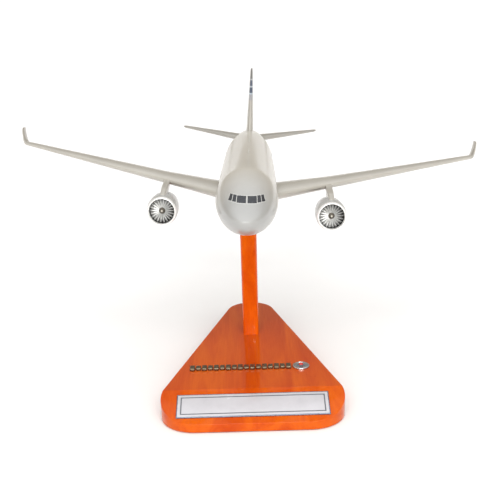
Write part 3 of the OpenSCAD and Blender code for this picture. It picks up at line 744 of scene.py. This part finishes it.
def make_nacelle(side):
    outside = []
    d = LIP_LENGTH
    while d < COWL_LENGTH - 0.2:
        outside.append((cowl_r(d) - groove(d), d))
        d += 0.1 if any(abs(d - seam) < 0.5 for seam in SEAMS) else 0.5
    end_r = cowl_r(COWL_LENGTH)
    profile = [(0.0, BULKHEAD), (DUCT_R - 0.05, BULKHEAD), (DUCT_R, LIP_LENGTH)] + outside
    profile += [(end_r, COWL_LENGTH), (end_r - 0.35, COWL_LENGTH),
                (8.5, COWL_LENGTH - SLOT_DEPTH), (0.0, COWL_LENGTH - SLOT_DEPTH)]
    shell = build_engine("nacelle_cowl", lathe(profile), side, "nacelle",
                         SILVER_COWL)
    paint_recess_shade(shell, side)


def paint_recess_shade(shell, side):
    """Painted shade: a near-black colour on the faces of the cowl that lie inside the duct and the
    rear slot, where shade falls.
    """
    shell.data.materials.append(DUCT_PAINTED_SHADE)
    back = engine_frame(side).inverted()
    for face in shell.data.polygons:
        at = back @ face.center
        radius = math.hypot(at.x, at.y)
        inside = at.z < BULKHEAD + 1 and radius < DUCT_R + 0.02
        slot_end = at.z > COWL_LENGTH - SLOT_DEPTH - 0.2 and radius < cowl_r(COWL_LENGTH) - 0.3
        if inside or slot_end:
            face.material_index = 1


def lip_side(end_r, steps=14):
    """One side of the lip, from its front edge back to a radius."""
    return [(mix(LIP_R, end_r, round_nose(i / steps) ** 1.2), LIP_LENGTH * (i / steps) ** 1.6)
            for i in range(steps + 1)]


def make_inlet_lip(side):
    outer, inner = lip_side(cowl_r(LIP_LENGTH)), lip_side(DUCT_R - 0.02)
    profile = inner[::-1] + outer[1:] + [inner[-1]]
    build_engine("inlet_ring", lathe(profile), side, "inlet_lip", CHROME)


def fan_blade(angle):
    """One twisted blade with a thickness, set round the hub at an angle."""
    rows, across = 12, 6
    layers = []
    for layer in (0.5, -0.5):
        points = []
        for r in range(rows + 1):
            u = r / rows
            radius = mix(HUB_R - 0.2, FAN_R, u)
            pitch = math.radians(mix(24, 36, u) + 10 * math.sin(math.pi * u))
            chord = mix(2.3, 3.0, u)
            sweep = 0.35 * math.sin(math.pi * u)
            thick = mix(0.42, 0.16, u)
            for k in range(across + 1):
                f = k / across - 0.5
                off = 0.25 * (1 - (2 * f) ** 2) + layer * thick * (1 - (2 * f) ** 4)
                turn = chord * f * math.sin(pitch) + off * math.cos(pitch) + sweep
                depth = chord * f * math.cos(pitch) - off * math.sin(pitch)
                depth = clamp(depth, -FAN_DEPTH / 2 + 0.02, FAN_DEPTH / 2 - 0.02)
                a = angle + turn / radius
                points.append((radius * math.cos(a), radius * math.sin(a), depth))
        layers.append(points)
    return sheet_shell(*layers, across, rows)


def make_fan(side):
    parts = [fan_blade(2 * math.pi * i / BLADE_COUNT) for i in range(BLADE_COUNT)]
    half = FAN_DEPTH / 2
    parts.append(lathe([(0, -half), (HUB_R - 0.15, -half), (HUB_R, -half + 0.2),
                        (HUB_R, half - 0.2), (HUB_R - 0.2, half), (0, half)], 64))
    wheel = moved(join(parts), Matrix.Translation((0, 0, FAN_STATION)))
    build_engine("fan_wheel", wheel, side, "fan", FAN_METAL, True, 40.0)


def make_spinner(side):
    base = FAN_STATION - FAN_DEPTH / 2
    profile = [(0.0, base)]
    profile += [(HUB_R * (1 - u ** 1.25) ** 0.9, base - SPINNER_LENGTH * u)
                for u in (i / 22 for i in range(22))]
    profile.append((0.0, base - SPINNER_LENGTH))
    build_engine("spinner_cone", lathe(profile, 64), side, "spinner", SPINNER,
                 True, 50.0)


def make_exhaust(side):
    inside = COWL_LENGTH - SLOT_DEPTH + 0.1
    nozzle = [(0, inside), (CORE_R, inside), (CORE_R, COWL_LENGTH)]
    nozzle += [(mix(CORE_R, CORE_END_R, smooth(u) * 0.4 + 0.6 * u), COWL_LENGTH + CORE_LENGTH * u)
               for u in (i / 16 for i in range(1, 17))]
    nozzle += [(4.65, 54.0), (4.75, 53.0), (5.1, 50.2), (0, 50.2)]
    build_engine("core_nozzle", lathe(nozzle, 72), side, "exhaust_nozzle",
                 DARK_METAL)
    plug = [(0, PLUG_START), (PLUG_R, PLUG_START)]
    plug += [(PLUG_R * (1 - u) ** 0.85, PLUG_START + 10.7 * u ** 0.95)
             for u in (i / 14 for i in range(1, 14))]
    plug += [(0, PLUG_END)]
    build_engine("plug_cone", lathe(plug, 56), side, "exhaust_plug", DARK_METAL)


def pylon_ring(z, front, back, count=56):
    ring = []
    for i in range(count):
        a = 2 * math.pi * i / count
        f = (1 + math.cos(a)) / 2
        w = PYLON_HALF * math.sqrt(abs(math.sin(a))) * (1 - 0.5 * f)
        ring.append(Vector((ENGINE_X - math.copysign(w, math.sin(a)), mix(front, back, f), z)))
    return ring


def make_pylon(side):
    # Height, front and back of the pylon's sections, from inside the cowl up into the wing
    keys = [
        (ENGINE_Z + 10, INLET_STATION + 7, 182.0),
        (ENGINE_Z + NACELLE_R, INLET_STATION + 8, 186.0),
        (ENGINE_Z + NACELLE_R + 3.4, INLET_STATION + 18, 196.0),
        (-4.5, INLET_STATION + 42, 200.0),
    ]
    rings = []
    for low, high in zip(keys, keys[1:]):
        for i in range(8):
            rings.append(pylon_ring(*(mix(a, b, i / 8) for a, b in zip(low, high))))
    rings.append(pylon_ring(*keys[-1]))
    build_side("pylon_blade", loft(rings), side, "pylon", SILVER)


# ---------------------------------------------------------------- decals and small parts

PANE_LOW = 5.0
PANE_HIGH = 8.7
# Inner and outer edge of each pane, at its foot and at its head, and its lift above the first
PANES = ((0.45, 6.4, 0.45, 6.1, 0.0), (6.75, 9.2, 6.4, 8.5, 0.3), (9.5, 11.7, 8.8, 10.5, 0.5))
WINDOW_Z = 4.2
WINDOW_PITCH = 3.7
WINDOW_START, WINDOW_END = 70.0, 372.0
DOORS = (62.0, 118.0, 258.0, 352.0)
DOOR_HALF = 3.7
DOOR_LOW, DOOR_HIGH = -5.6, 8.2
DECAL_ROOT = -0.1
ANTENNAS = ((150.0, 1), (235.0, 1), (95.0, -1))


def skin_height(s, z):
    """Height over the waist as a fraction of the skin's reach on that side of it."""
    _, crown, waist, keel = section(s)
    return (z - waist) / (crown - waist if z > waist else waist - keel)


def skin_level(x, s, z):
    """Below 1 inside the fuselage, above 1 outside it."""
    return (x / section(s)[0]) ** 2 + skin_height(s, z) ** 2


def nose_station(x, z):
    """Station where the nose's skin passes through a point of the front view."""
    low, high = 0.01, NOSE_LENGTH
    for _ in range(48):
        s = (low + high) / 2
        low, high = (low, s) if skin_level(x, s, z) < 1 else (s, high)
    return (low + high) / 2


def skin_normal(x, s, z):
    """Outward direction of the nose's skin."""
    step = 0.05
    return Vector((
        skin_level(x + step, s, z) - skin_level(x - step, s, z),
        skin_level(x, s + step, z) - skin_level(x, s - step, z),
        skin_level(x, s, z + step) - skin_level(x, s, z - step),
    )).normalized()


def nose_patch(corners, proud, across=10, up=6):
    """A thin shell over a four-sided region of the nose, given by its front-view corners."""
    first, second, third, fourth = (Vector(corner) for corner in corners)
    layers = [[], []]
    for j in range(up + 1):
        for i in range(across + 1):
            u, v = i / across, j / up
            x, z = first.lerp(second, u).lerp(fourth.lerp(third, u), v)
            s = nose_station(x, z)
            normal = skin_normal(x, s, z)
            for layer, lift in zip(layers, (proud, -0.15)):
                layer.append(Vector((x, s, z)) + normal * lift)
    return sheet_shell(*layers, across, up)


def pane_corners(pane, side, grow=0.0):
    inner_low, outer_low, inner_high, outer_high, lift = pane
    low, high = PANE_LOW + lift - grow, PANE_HIGH + lift * 0.7 + grow
    return [(side * (inner_low - grow), low), (side * (outer_low + grow), low),
            (side * (outer_high + grow), high), (side * (inner_high - grow), high)]


def pane_set(grow, proud):
    return join([nose_patch(pane_corners(pane, side, grow), proud)
                 for side in SIDES for pane in PANES])


def make_cockpit():
    build("cockpit_panes", pane_set(0.0, 0.09), ON_AIRCRAFT, GLAZING,
          ["cockpit_glazing"])
    build("cockpit_frames", pane_set(0.25, 0.045), ON_AIRCRAFT, PALE_PAINT)


def side_point(side, s, z, proud):
    """Point on the fuselage's side at a station and height."""
    flat = skin_point(s, math.asin(clamp(skin_height(s, z), -0.98, 0.98)), proud)
    return Vector((side * flat.x, flat.y, flat.z))


def window_patch(side, s, z, half_w, half_h):
    """A small window with rounded corners."""
    rim = [(s + half_w * c, z + half_h * d) for c, d in (squarish(a, 0.6) for a in around(16))]
    return loft([[side_point(side, *at, proud) for at in rim] for proud in (DECAL_ROOT, 0.05)])


def make_cabin_windows():
    parts = []
    s = WINDOW_START
    while s < WINDOW_END:
        if all(abs(s - door) > DOOR_HALF + 1.6 for door in DOORS):
            z = WINDOW_Z + waist_z(s) * 0.55
            parts += [window_patch(side, s, z, 0.72, 1.05) for side in SIDES]
        s += WINDOW_PITCH
    for door in DOORS:
        z = WINDOW_Z + 0.6 + waist_z(door) * 0.55
        parts += [window_patch(side, door, z, 0.6, 0.8) for side in SIDES]
    build("cabin_windows", join(parts), ON_AIRCRAFT, GLAZING)


def line_strip(points, width):
    """A thin closed strip that follows side-view points (side, station, height)."""
    rings = []
    count = len(points)
    for i, (side, s, z) in enumerate(points):
        before, after = points[i - 1], points[(i + 1) % count]
        along = Vector((after[1] - before[1], after[2] - before[2])).normalized()
        off = Vector((-along.y, along.x)) * width / 2
        rings.append([side_point(side, s + sign * off.x, z + sign * off.y, proud)
                      for sign, proud in ((1, 0.035), (-1, 0.035), (-1, DECAL_ROOT), (1, DECAL_ROOT))])
    return loft(rings + rings[:1], closed_ends=False)


def door_outline(side, s, low, high):
    """Rounded door outline as a list of points."""
    radius, points = 1.1, []
    corners = ((1, 1), (-1, 1), (-1, -1), (1, -1))
    for k, (cx, cz) in enumerate(corners):
        centre_s = s + cx * (DOOR_HALF - radius)
        centre_z = (high - radius) if cz > 0 else (low + radius)
        for i in range(6):
            a = math.pi / 2 * (k + i / 5)
            points.append((side, centre_s + radius * math.cos(a), centre_z + radius * math.sin(a)))
    return points


def make_door_lines():
    parts = []
    for door in DOORS:
        drift = waist_z(door) * 0.6
        parts += [line_strip(door_outline(side, door, DOOR_LOW + drift, DOOR_HIGH + drift), 0.22)
                  for side in SIDES]
    build("door_lines", join(parts), ON_AIRCRAFT, LINE_PAINT)


def antenna(s, up):
    """A thin swept blade on the skin."""
    rings = []
    for i in range(9):
        u = i / 8
        le = s + 2.9 * u ** 0.9
        te = s + mix(4.5, 4.2, u) - 0.4 * max(0.0, u - 0.85) / 0.15
        rings.append([Vector((h * (te - le), mix(le, te, f), up * (FUSELAGE_R + mix(-0.4, 3.35, u))))
                      for f, h in foil(0.13 * (1 - 0.3 * u), 0.0, 24)])
    return loft(rings)


def make_antennas():
    parts = [antenna(s, up) for s, up in ANTENNAS]
    build("antenna_blades", join(parts), ON_AIRCRAFT, PALE_PAINT,
          ["blade_antennas"])


# ---------------------------------------------------------------- stand

FELT_T = 0.8
BASE_T = 18.5
BASE_TOP = FELT_T + BASE_T
BASE_HALF_W = 70.8
BASE_APEX = 246.0
FACET_DEPTH = 36.0
FACET_DROP = 11.7
FRONT_CORNER_R = 28.0
REAR_CORNER_R = 21.7
FOOT_BACK = 25.0
FOOT_TO_RIDGE = 109.7
ARM_W = 13.9
ARM_DEPTH = 20.0
SWIVEL_AT = Vector(JOINTS["aircraft_swivel"]["pos_m"])
SWIVEL_AXIS = Vector(JOINTS["aircraft_swivel"]["axis"])
NOSE_UP = math.atan2(*SWIVEL_AXIS.yz)
LEAN = Vector((math.sin(NOSE_UP), math.cos(NOSE_UP)))
PEG_Y, AXIS_Z = (AIRCRAFT @ Vector((0, PEG_STATION, 0))).yz / MM
RIDGE_Y = PEG_Y + FOOT_BACK - FOOT_TO_RIDGE
FRONT_Y = RIDGE_Y - FACET_DEPTH
SIDE_ANGLE = math.atan(BASE_HALF_W / BASE_APEX)
FACET_ANGLE = math.atan(FACET_DROP / FACET_DEPTH)
FACET_LENGTH = math.hypot(FACET_DEPTH, FACET_DROP)


EDGE_R = 1.5
ARM_CORNER_R = 2.6


def arc(centre, r, start, end, steps):
    return [(centre[0] + r * math.cos(mix(start, end, i / steps)),
             centre[1] + r * math.sin(mix(start, end, i / steps))) for i in range(steps + 1)]


def base_outline():
    slope, stretch = math.tan(SIDE_ANGLE), 1 / math.cos(SIDE_ANGLE)
    front_x = BASE_HALF_W + slope * (FACET_DEPTH - FRONT_CORNER_R) - stretch * FRONT_CORNER_R
    front_y = FRONT_Y + FRONT_CORNER_R
    rear_y = RIDGE_Y + BASE_APEX - REAR_CORNER_R / math.sin(SIDE_ANGLE)
    quarter = math.pi / 2
    points = arc((front_x, front_y), FRONT_CORNER_R, -quarter, SIDE_ANGLE, 30)
    points += arc((0, rear_y), REAR_CORNER_R, SIDE_ANGLE, math.pi - SIDE_ANGLE, 36)
    points += arc((-front_x, front_y), FRONT_CORNER_R, math.pi - SIDE_ANGLE, 3 * quarter, 30)
    return points


def cut_above(work, point, normal):
    """Takes away what lies beyond a plane and closes the cut."""
    bmesh.ops.bisect_plane(work, geom=work.verts[:] + work.edges[:] + work.faces[:],
                           plane_co=point, plane_no=normal, clear_outer=True)
    bmesh.ops.holes_fill(work, edges=[e for e in work.edges if e.is_boundary])


def make_base():
    """The base block: cut by the front facet, then every edge rounded."""
    outline = base_outline()
    work = bmesh.new()
    low = [work.verts.new((x, y, FELT_T)) for x, y in outline]
    high = [work.verts.new((x, y, BASE_TOP)) for x, y in outline]
    for face in (low[::-1], high, *prism_walls(low, high)):
        work.faces.new(face)
    normal = Vector((0, -math.sin(FACET_ANGLE), math.cos(FACET_ANGLE)))
    cut_above(work, (0, RIDGE_Y, BASE_TOP), normal)
    bmesh.ops.recalc_face_normals(work, faces=work.faces)
    edges = [e for e in work.edges
             if len(e.link_faces) == 2 and e.calc_face_angle(0) > math.radians(12)]
    bmesh.ops.bevel(work, geom=edges, offset=EDGE_R, segments=5, profile=0.5, affect="EDGES",
                    clamp_overlap=True)
    build("base_block", taken(work), ON_STAND, WOOD, ["stand_base"], 35.0)


def arm_centre(u):
    """Centre line of the arm as (y, z), from the foot to the head."""
    foot = Vector((PEG_Y + FOOT_BACK + 12, BASE_TOP))
    head = Vector((PEG_Y, AXIS_Z)) + HEAD_GAP * LEAN
    above_foot = foot + Vector((-4, 50))
    below_head = head - 45 * LEAN + Vector((16, 0))
    v = 1 - u
    return (v ** 3 * foot + 3 * v * v * u * above_foot + 3 * v * u * u * below_head
            + u ** 3 * head)


def arm_half(u):
    return ARM_DEPTH / 2 + 3.5 * (1 - u) ** 6 - 1.2 * u


def arm_section(u):
    """Rounded rectangle across the arm."""
    centre = arm_centre(u)
    deep = Vector((0, math.cos(NOSE_UP * u), -math.sin(NOSE_UP * u)))
    reach_x, reach_d = ARM_W / 2 - ARM_CORNER_R, arm_half(u) - ARM_CORNER_R
    ring = []
    for k, (cx, cy) in enumerate(((1, 1), (-1, 1), (-1, -1), (1, -1))):
        for x, d in arc((cx * reach_x, cy * reach_d), ARM_CORNER_R, math.pi / 2 * k,
                        math.pi / 2 * (k + 1), 6):
            ring.append(Vector((x, centre.x, centre.y)) + deep * d)
    return ring


def make_arm():
    """The curved arm, cut square to the peg at its head."""
    rings = [arm_section(i / 60) for i in range(61)]
    rings.append([p + Vector((0, *LEAN)) * 1.5 for p in rings[-1]])
    verts, faces = loft(rings)
    work = bmesh.new()
    made = [work.verts.new(v) for v in verts]
    for face in faces:
        work.faces.new([made[i] for i in face])
    top = SWIVEL_AT / MM - Vector((STAND_X, 0, 0))
    cut_above(work, top - SWIVEL_AXIS * 0.02, SWIVEL_AXIS)
    build("arm_post", taken(work), ON_STAND, WOOD_ARM, ["arm"], 40.0)


FACET = (Matrix.Translation((0, RIDGE_Y, BASE_TOP)) @ Matrix.Rotation(FACET_ANGLE, 4, "X")
         @ Matrix.Translation((0, -FACET_LENGTH / 2, 0)))
PLATE_W = 118.0
PLATE_H = 24.6
PLATE_T = 1.2


PLATE_RIM = 0.8
KEYLINE_IN, KEYLINE_W = 3.5, 1.0


def frame_strip(half_w, half_h, width, low, high):
    """A rectangular outline of flat strips."""
    strips = []
    for side in SIDES:
        for x, y, reach_x, reach_y in ((0, side * half_h, half_w, width / 2),
                                       (side * half_w, 0, width / 2, half_h + width / 2)):
            strips.append(bevelled_box((x - reach_x, y - reach_y, low),
                                       (x + reach_x, y + reach_y, high), 0.01, 1))
    return join(strips)


def make_name_plate():
    half_w, half_h = PLATE_W / 2, PLATE_H / 2
    back = bevelled_box((-half_w, -half_h, 0), (half_w, half_h, PLATE_T - 0.05), 0.3, 3)
    build("plate_metal_back", moved(back, FACET), ON_STAND, PLATE_METAL,
          ["plate_back"])
    white = bevelled_box((PLATE_RIM - half_w, PLATE_RIM - half_h, PLATE_T - 0.3),
                         (half_w - PLATE_RIM, half_h - PLATE_RIM, PLATE_T - 0.02), 0.04, 2)
    build("plate_card", moved(white, FACET), ON_STAND, PLATE_WHITE,
          ["plate_face"])
    line = frame_strip(half_w - KEYLINE_IN, half_h - KEYLINE_IN, KEYLINE_W, PLATE_T - 0.03,
                       PLATE_T - 0.005)
    build("plate_keyline", moved(line, FACET), ON_STAND, LINE_PAINT)


BADGE_W = 84.0
BAR_COUNT = 17
BAR_FILL = 0.8
BADGE_Y = RIDGE_Y + 37
BADGE_LEFT = -51.0
BAR_T = 2.4
BAR_DEPTHS = (7.2, 5.8)
ORNAMENT_R = 7.0
STUD_R = 1.8
ORNAMENT = Matrix.Translation((BADGE_LEFT + BADGE_W + ORNAMENT_R + 0.4, BADGE_Y + 0.5, BASE_TOP))


def make_badge_bars():
    pitch = BADGE_W / BAR_COUNT
    parts = []
    for i in range(BAR_COUNT):
        half = BAR_DEPTHS[i % 2] / 2
        x = BADGE_LEFT + i * pitch
        parts.append(bevelled_box((x, BADGE_Y - half, BASE_TOP),
                                  (x + pitch * BAR_FILL, BADGE_Y + half, BASE_TOP + BAR_T), 0.5, 3))
    build("badge_bar_row", join(parts), ON_STAND, PEWTER, ["badge_bars"])


def star(count, outer, inner, low, high, peak):
    """A pointed star with a raised middle; count is its points and hollows together."""
    rim = [(r * math.cos(math.pi / 4 * i), r * math.sin(math.pi / 4 * i))
           for i, r in enumerate((outer, inner) * (count // 2))]
    verts = [(x, y, z) for z in (low, high) for x, y in rim] + [(0, 0, peak), (0, 0, low)]
    feet, tops = list(range(count)), list(range(count, 2 * count))
    faces = prism_walls(feet, tops)
    for i in range(count):
        j = (i + 1) % count
        faces += [(tops[i], tops[j], 2 * count), (feet[j], feet[i], 2 * count + 1)]
    return verts, faces


def make_ornament():
    disc = lathe([(0, 0), (ORNAMENT_R, 0), (ORNAMENT_R, 1.1), (ORNAMENT_R - 0.25, 1.45),
                  (ORNAMENT_R - 0.6, 1.6), (ORNAMENT_R - 1.3, 1.6), (ORNAMENT_R - 1.5, 1.35),
                  (0, 1.35)], 72)
    build("ornament_plate", moved(disc, ORNAMENT), ON_STAND, ORNAMENT_METAL,
          ["ornament_disc"])
    points = star(8, ORNAMENT_R - 1.6, 2.3, 1.3, 1.7, 2.6)
    build("ornament_points", moved(points, ORNAMENT), ON_STAND, LINE_PAINT,
          ["ornament_star"], 5.0)
    stud = lathe([(0, 2.0), (STUD_R, 2.0), (STUD_R, 2.6)]
                 + [(STUD_R * math.cos(a), 2.6 + 0.85 * math.sin(a))
                    for a in (math.pi / 2 * i / 8 for i in range(1, 8))] + [(0, 3.45)], 40)
    build("ornament_dome", moved(stud, ORNAMENT), ON_STAND, RED,
          ["ornament_stud"])


def dress_cad_nodes():
    """Procedural finishes for the CAD nodes that stay."""
    finish = {
        "base_felt": FELT, "arm_screws": STEEL, "arm_washers": STEEL, "arm_dowels": BARE,
        "mounting_peg": STEEL, "thrust_washer": BRASS, "socket_bush": BRASS,
        "wing_dowels": BARE, "stabiliser_dowels": BARE, "fin_dowels": BARE,
        "fan_shaft_left": STEEL, "fan_shaft_right": STEEL,
        "fan_bush_left": BRASS, "fan_bush_right": BRASS,
    }
    for node, material in finish.items():
        piece = frame["nodes"][node]
        for holder in piece.material_slots:
            holder.material = material


# ---------------------------------------------------------------- stage, light, camera

FLOOR_HALF = 40.0
SUN_ENERGY = 3.1
SUN_WIDTH = math.radians(60)
SUN_HEADING = Vector((-0.02, 0.80, -0.60))
NOSE_SPOT_AT = Vector((0.10, -1.7, 0.75))
NOSE_SPOT_TARGET = Vector((0, -0.2, 0.2))
# Light of the room from below upwards: a warm low band, then a pale ceiling
WORLD_STOPS = ((0.0, (0.36, 0.31, 0.23)), (0.5, (0.36, 0.33, 0.29)), (1.0, (1.18, 1.2, 1.24)))
BACKDROP = (0.94, 0.94, 0.94, 1.0)
CAMERA_AT = Vector((-0.0030, -0.7716, 0.3486))
CAMERA_PITCH = 17.71
CAMERA_YAW = 0.03
CAMERA_ROLL = -1.6
CAMERA_LENS = 67.87


def make_stage():
    corners = [(-FLOOR_HALF, -FLOOR_HALF, 0), (FLOOR_HALF, -FLOOR_HALF, 0),
               (FLOOR_HALF, FLOOR_HALF, 0), (-FLOOR_HALF, FLOOR_HALF, 0)]
    mesh = bpy.data.meshes.new("studio_floor")
    mesh.from_pydata(corners, [], [(0, 1, 2, 3)])
    floor = bpy.data.objects.new("studio_floor", mesh)
    bpy.context.scene.collection.objects.link(floor)
    n = Nodes("floor_paint")
    grain = n.noise(n.coords((10, 10, 10)), 1.0, 2.0)
    n.set(Base_Color=n.ramp(grain, [(0.3, (0.88, 0.88, 0.88)), (0.7, (0.90, 0.90, 0.90))]),
          Roughness=0.9)
    mesh.materials.append(n.material)


def light(name, kind, energy, heading):
    """A lamp that shines along a heading."""
    data = bpy.data.lights.new(name, kind)
    data.energy = energy
    lamp = bpy.data.objects.new(name, data)
    bpy.context.scene.collection.objects.link(lamp)
    lamp.rotation_euler = heading.to_track_quat("-Z", "Y").to_euler()
    return lamp


def make_lights():
    """A broad soft key light from in front and above, and a small highlight on the nose."""
    sun = light("key_sun", "SUN", SUN_ENERGY, SUN_HEADING)
    sun.data.angle = SUN_WIDTH
    sun.data.color = (1.0, 0.985, 0.96)
    spot = light("nose_spot", "AREA", 1.2, NOSE_SPOT_TARGET - NOSE_SPOT_AT)
    spot.location = NOSE_SPOT_AT
    spot.data.shape = "RECTANGLE"
    spot.data.size, spot.data.size_y = 0.10, 0.08


def make_world():
    """Light of a pale room for the object, and a plain pale backdrop for the camera."""
    world = bpy.data.worlds.new("studio")
    bpy.context.scene.world = world
    world.use_nodes = True
    nodes, links = world.node_tree.nodes, world.node_tree.links
    source = nodes.new("ShaderNodeTexCoord")
    split = nodes.new("ShaderNodeSeparateXYZ")
    ramp = nodes.new("ShaderNodeValToRGB")
    backdrop = nodes.new("ShaderNodeBackground")
    rays = nodes.new("ShaderNodeLightPath")
    choice = nodes.new("ShaderNodeMixShader")
    ramp.color_ramp.elements.new(0.5)
    for element, (place, colour) in zip(ramp.color_ramp.elements, WORLD_STOPS):
        element.position = place
        element.color = (*colour, 1.0)
    backdrop.inputs["Color"].default_value = BACKDROP
    links.new(source.outputs["Generated"], split.inputs["Vector"])
    links.new(split.outputs["Z"], ramp.inputs["Fac"])
    links.new(ramp.outputs["Color"], nodes["Background"].inputs["Color"])
    links.new(rays.outputs["Is Camera Ray"], choice.inputs["Fac"])
    links.new(nodes["Background"].outputs["Background"], choice.inputs[1])
    links.new(backdrop.outputs["Background"], choice.inputs[2])
    links.new(choice.outputs["Shader"], nodes["World Output"].inputs["Surface"])


def make_camera():
    pitch, yaw, roll = (math.radians(a) for a in (CAMERA_PITCH, CAMERA_YAW, CAMERA_ROLL))
    ahead = Vector((math.sin(yaw) * math.cos(pitch), math.cos(yaw) * math.cos(pitch),
                    -math.sin(pitch)))
    right = Vector((math.cos(yaw), -math.sin(yaw), 0))
    up = right.cross(ahead)
    right, up = (right * math.cos(roll) + up * math.sin(roll),
                 up * math.cos(roll) - right * math.sin(roll))
    data = bpy.data.cameras.new("camera")
    data.lens = CAMERA_LENS
    data.sensor_width = 36.0
    data.clip_start = 0.01
    camera = bpy.data.objects.new("camera", data)
    bpy.context.scene.collection.objects.link(camera)
    turn = Matrix((right, up, -ahead)).transposed()
    camera.matrix_world = Matrix.Translation(CAMERA_AT) @ turn.to_4x4()
    bpy.context.scene.camera = camera


PAIRED = (make_wing, make_winglet, make_stabiliser, make_flap_fairings, make_nacelle,
          make_inlet_lip, make_fan, make_spinner, make_exhaust, make_pylon)

make_camera()
make_fuselage()
make_tail_cone()
make_belly_fairing()
make_fin()
make_cockpit()
make_cabin_windows()
make_door_lines()
make_antennas()
for side in SIDES:
    for make in PAIRED:
        make(side)
make_base()
make_arm()
make_name_plate()
make_badge_bars()
make_ornament()
dress_cad_nodes()
make_stage()
make_lights()
make_world()
bpy.context.scene.view_settings.view_transform = "Standard"
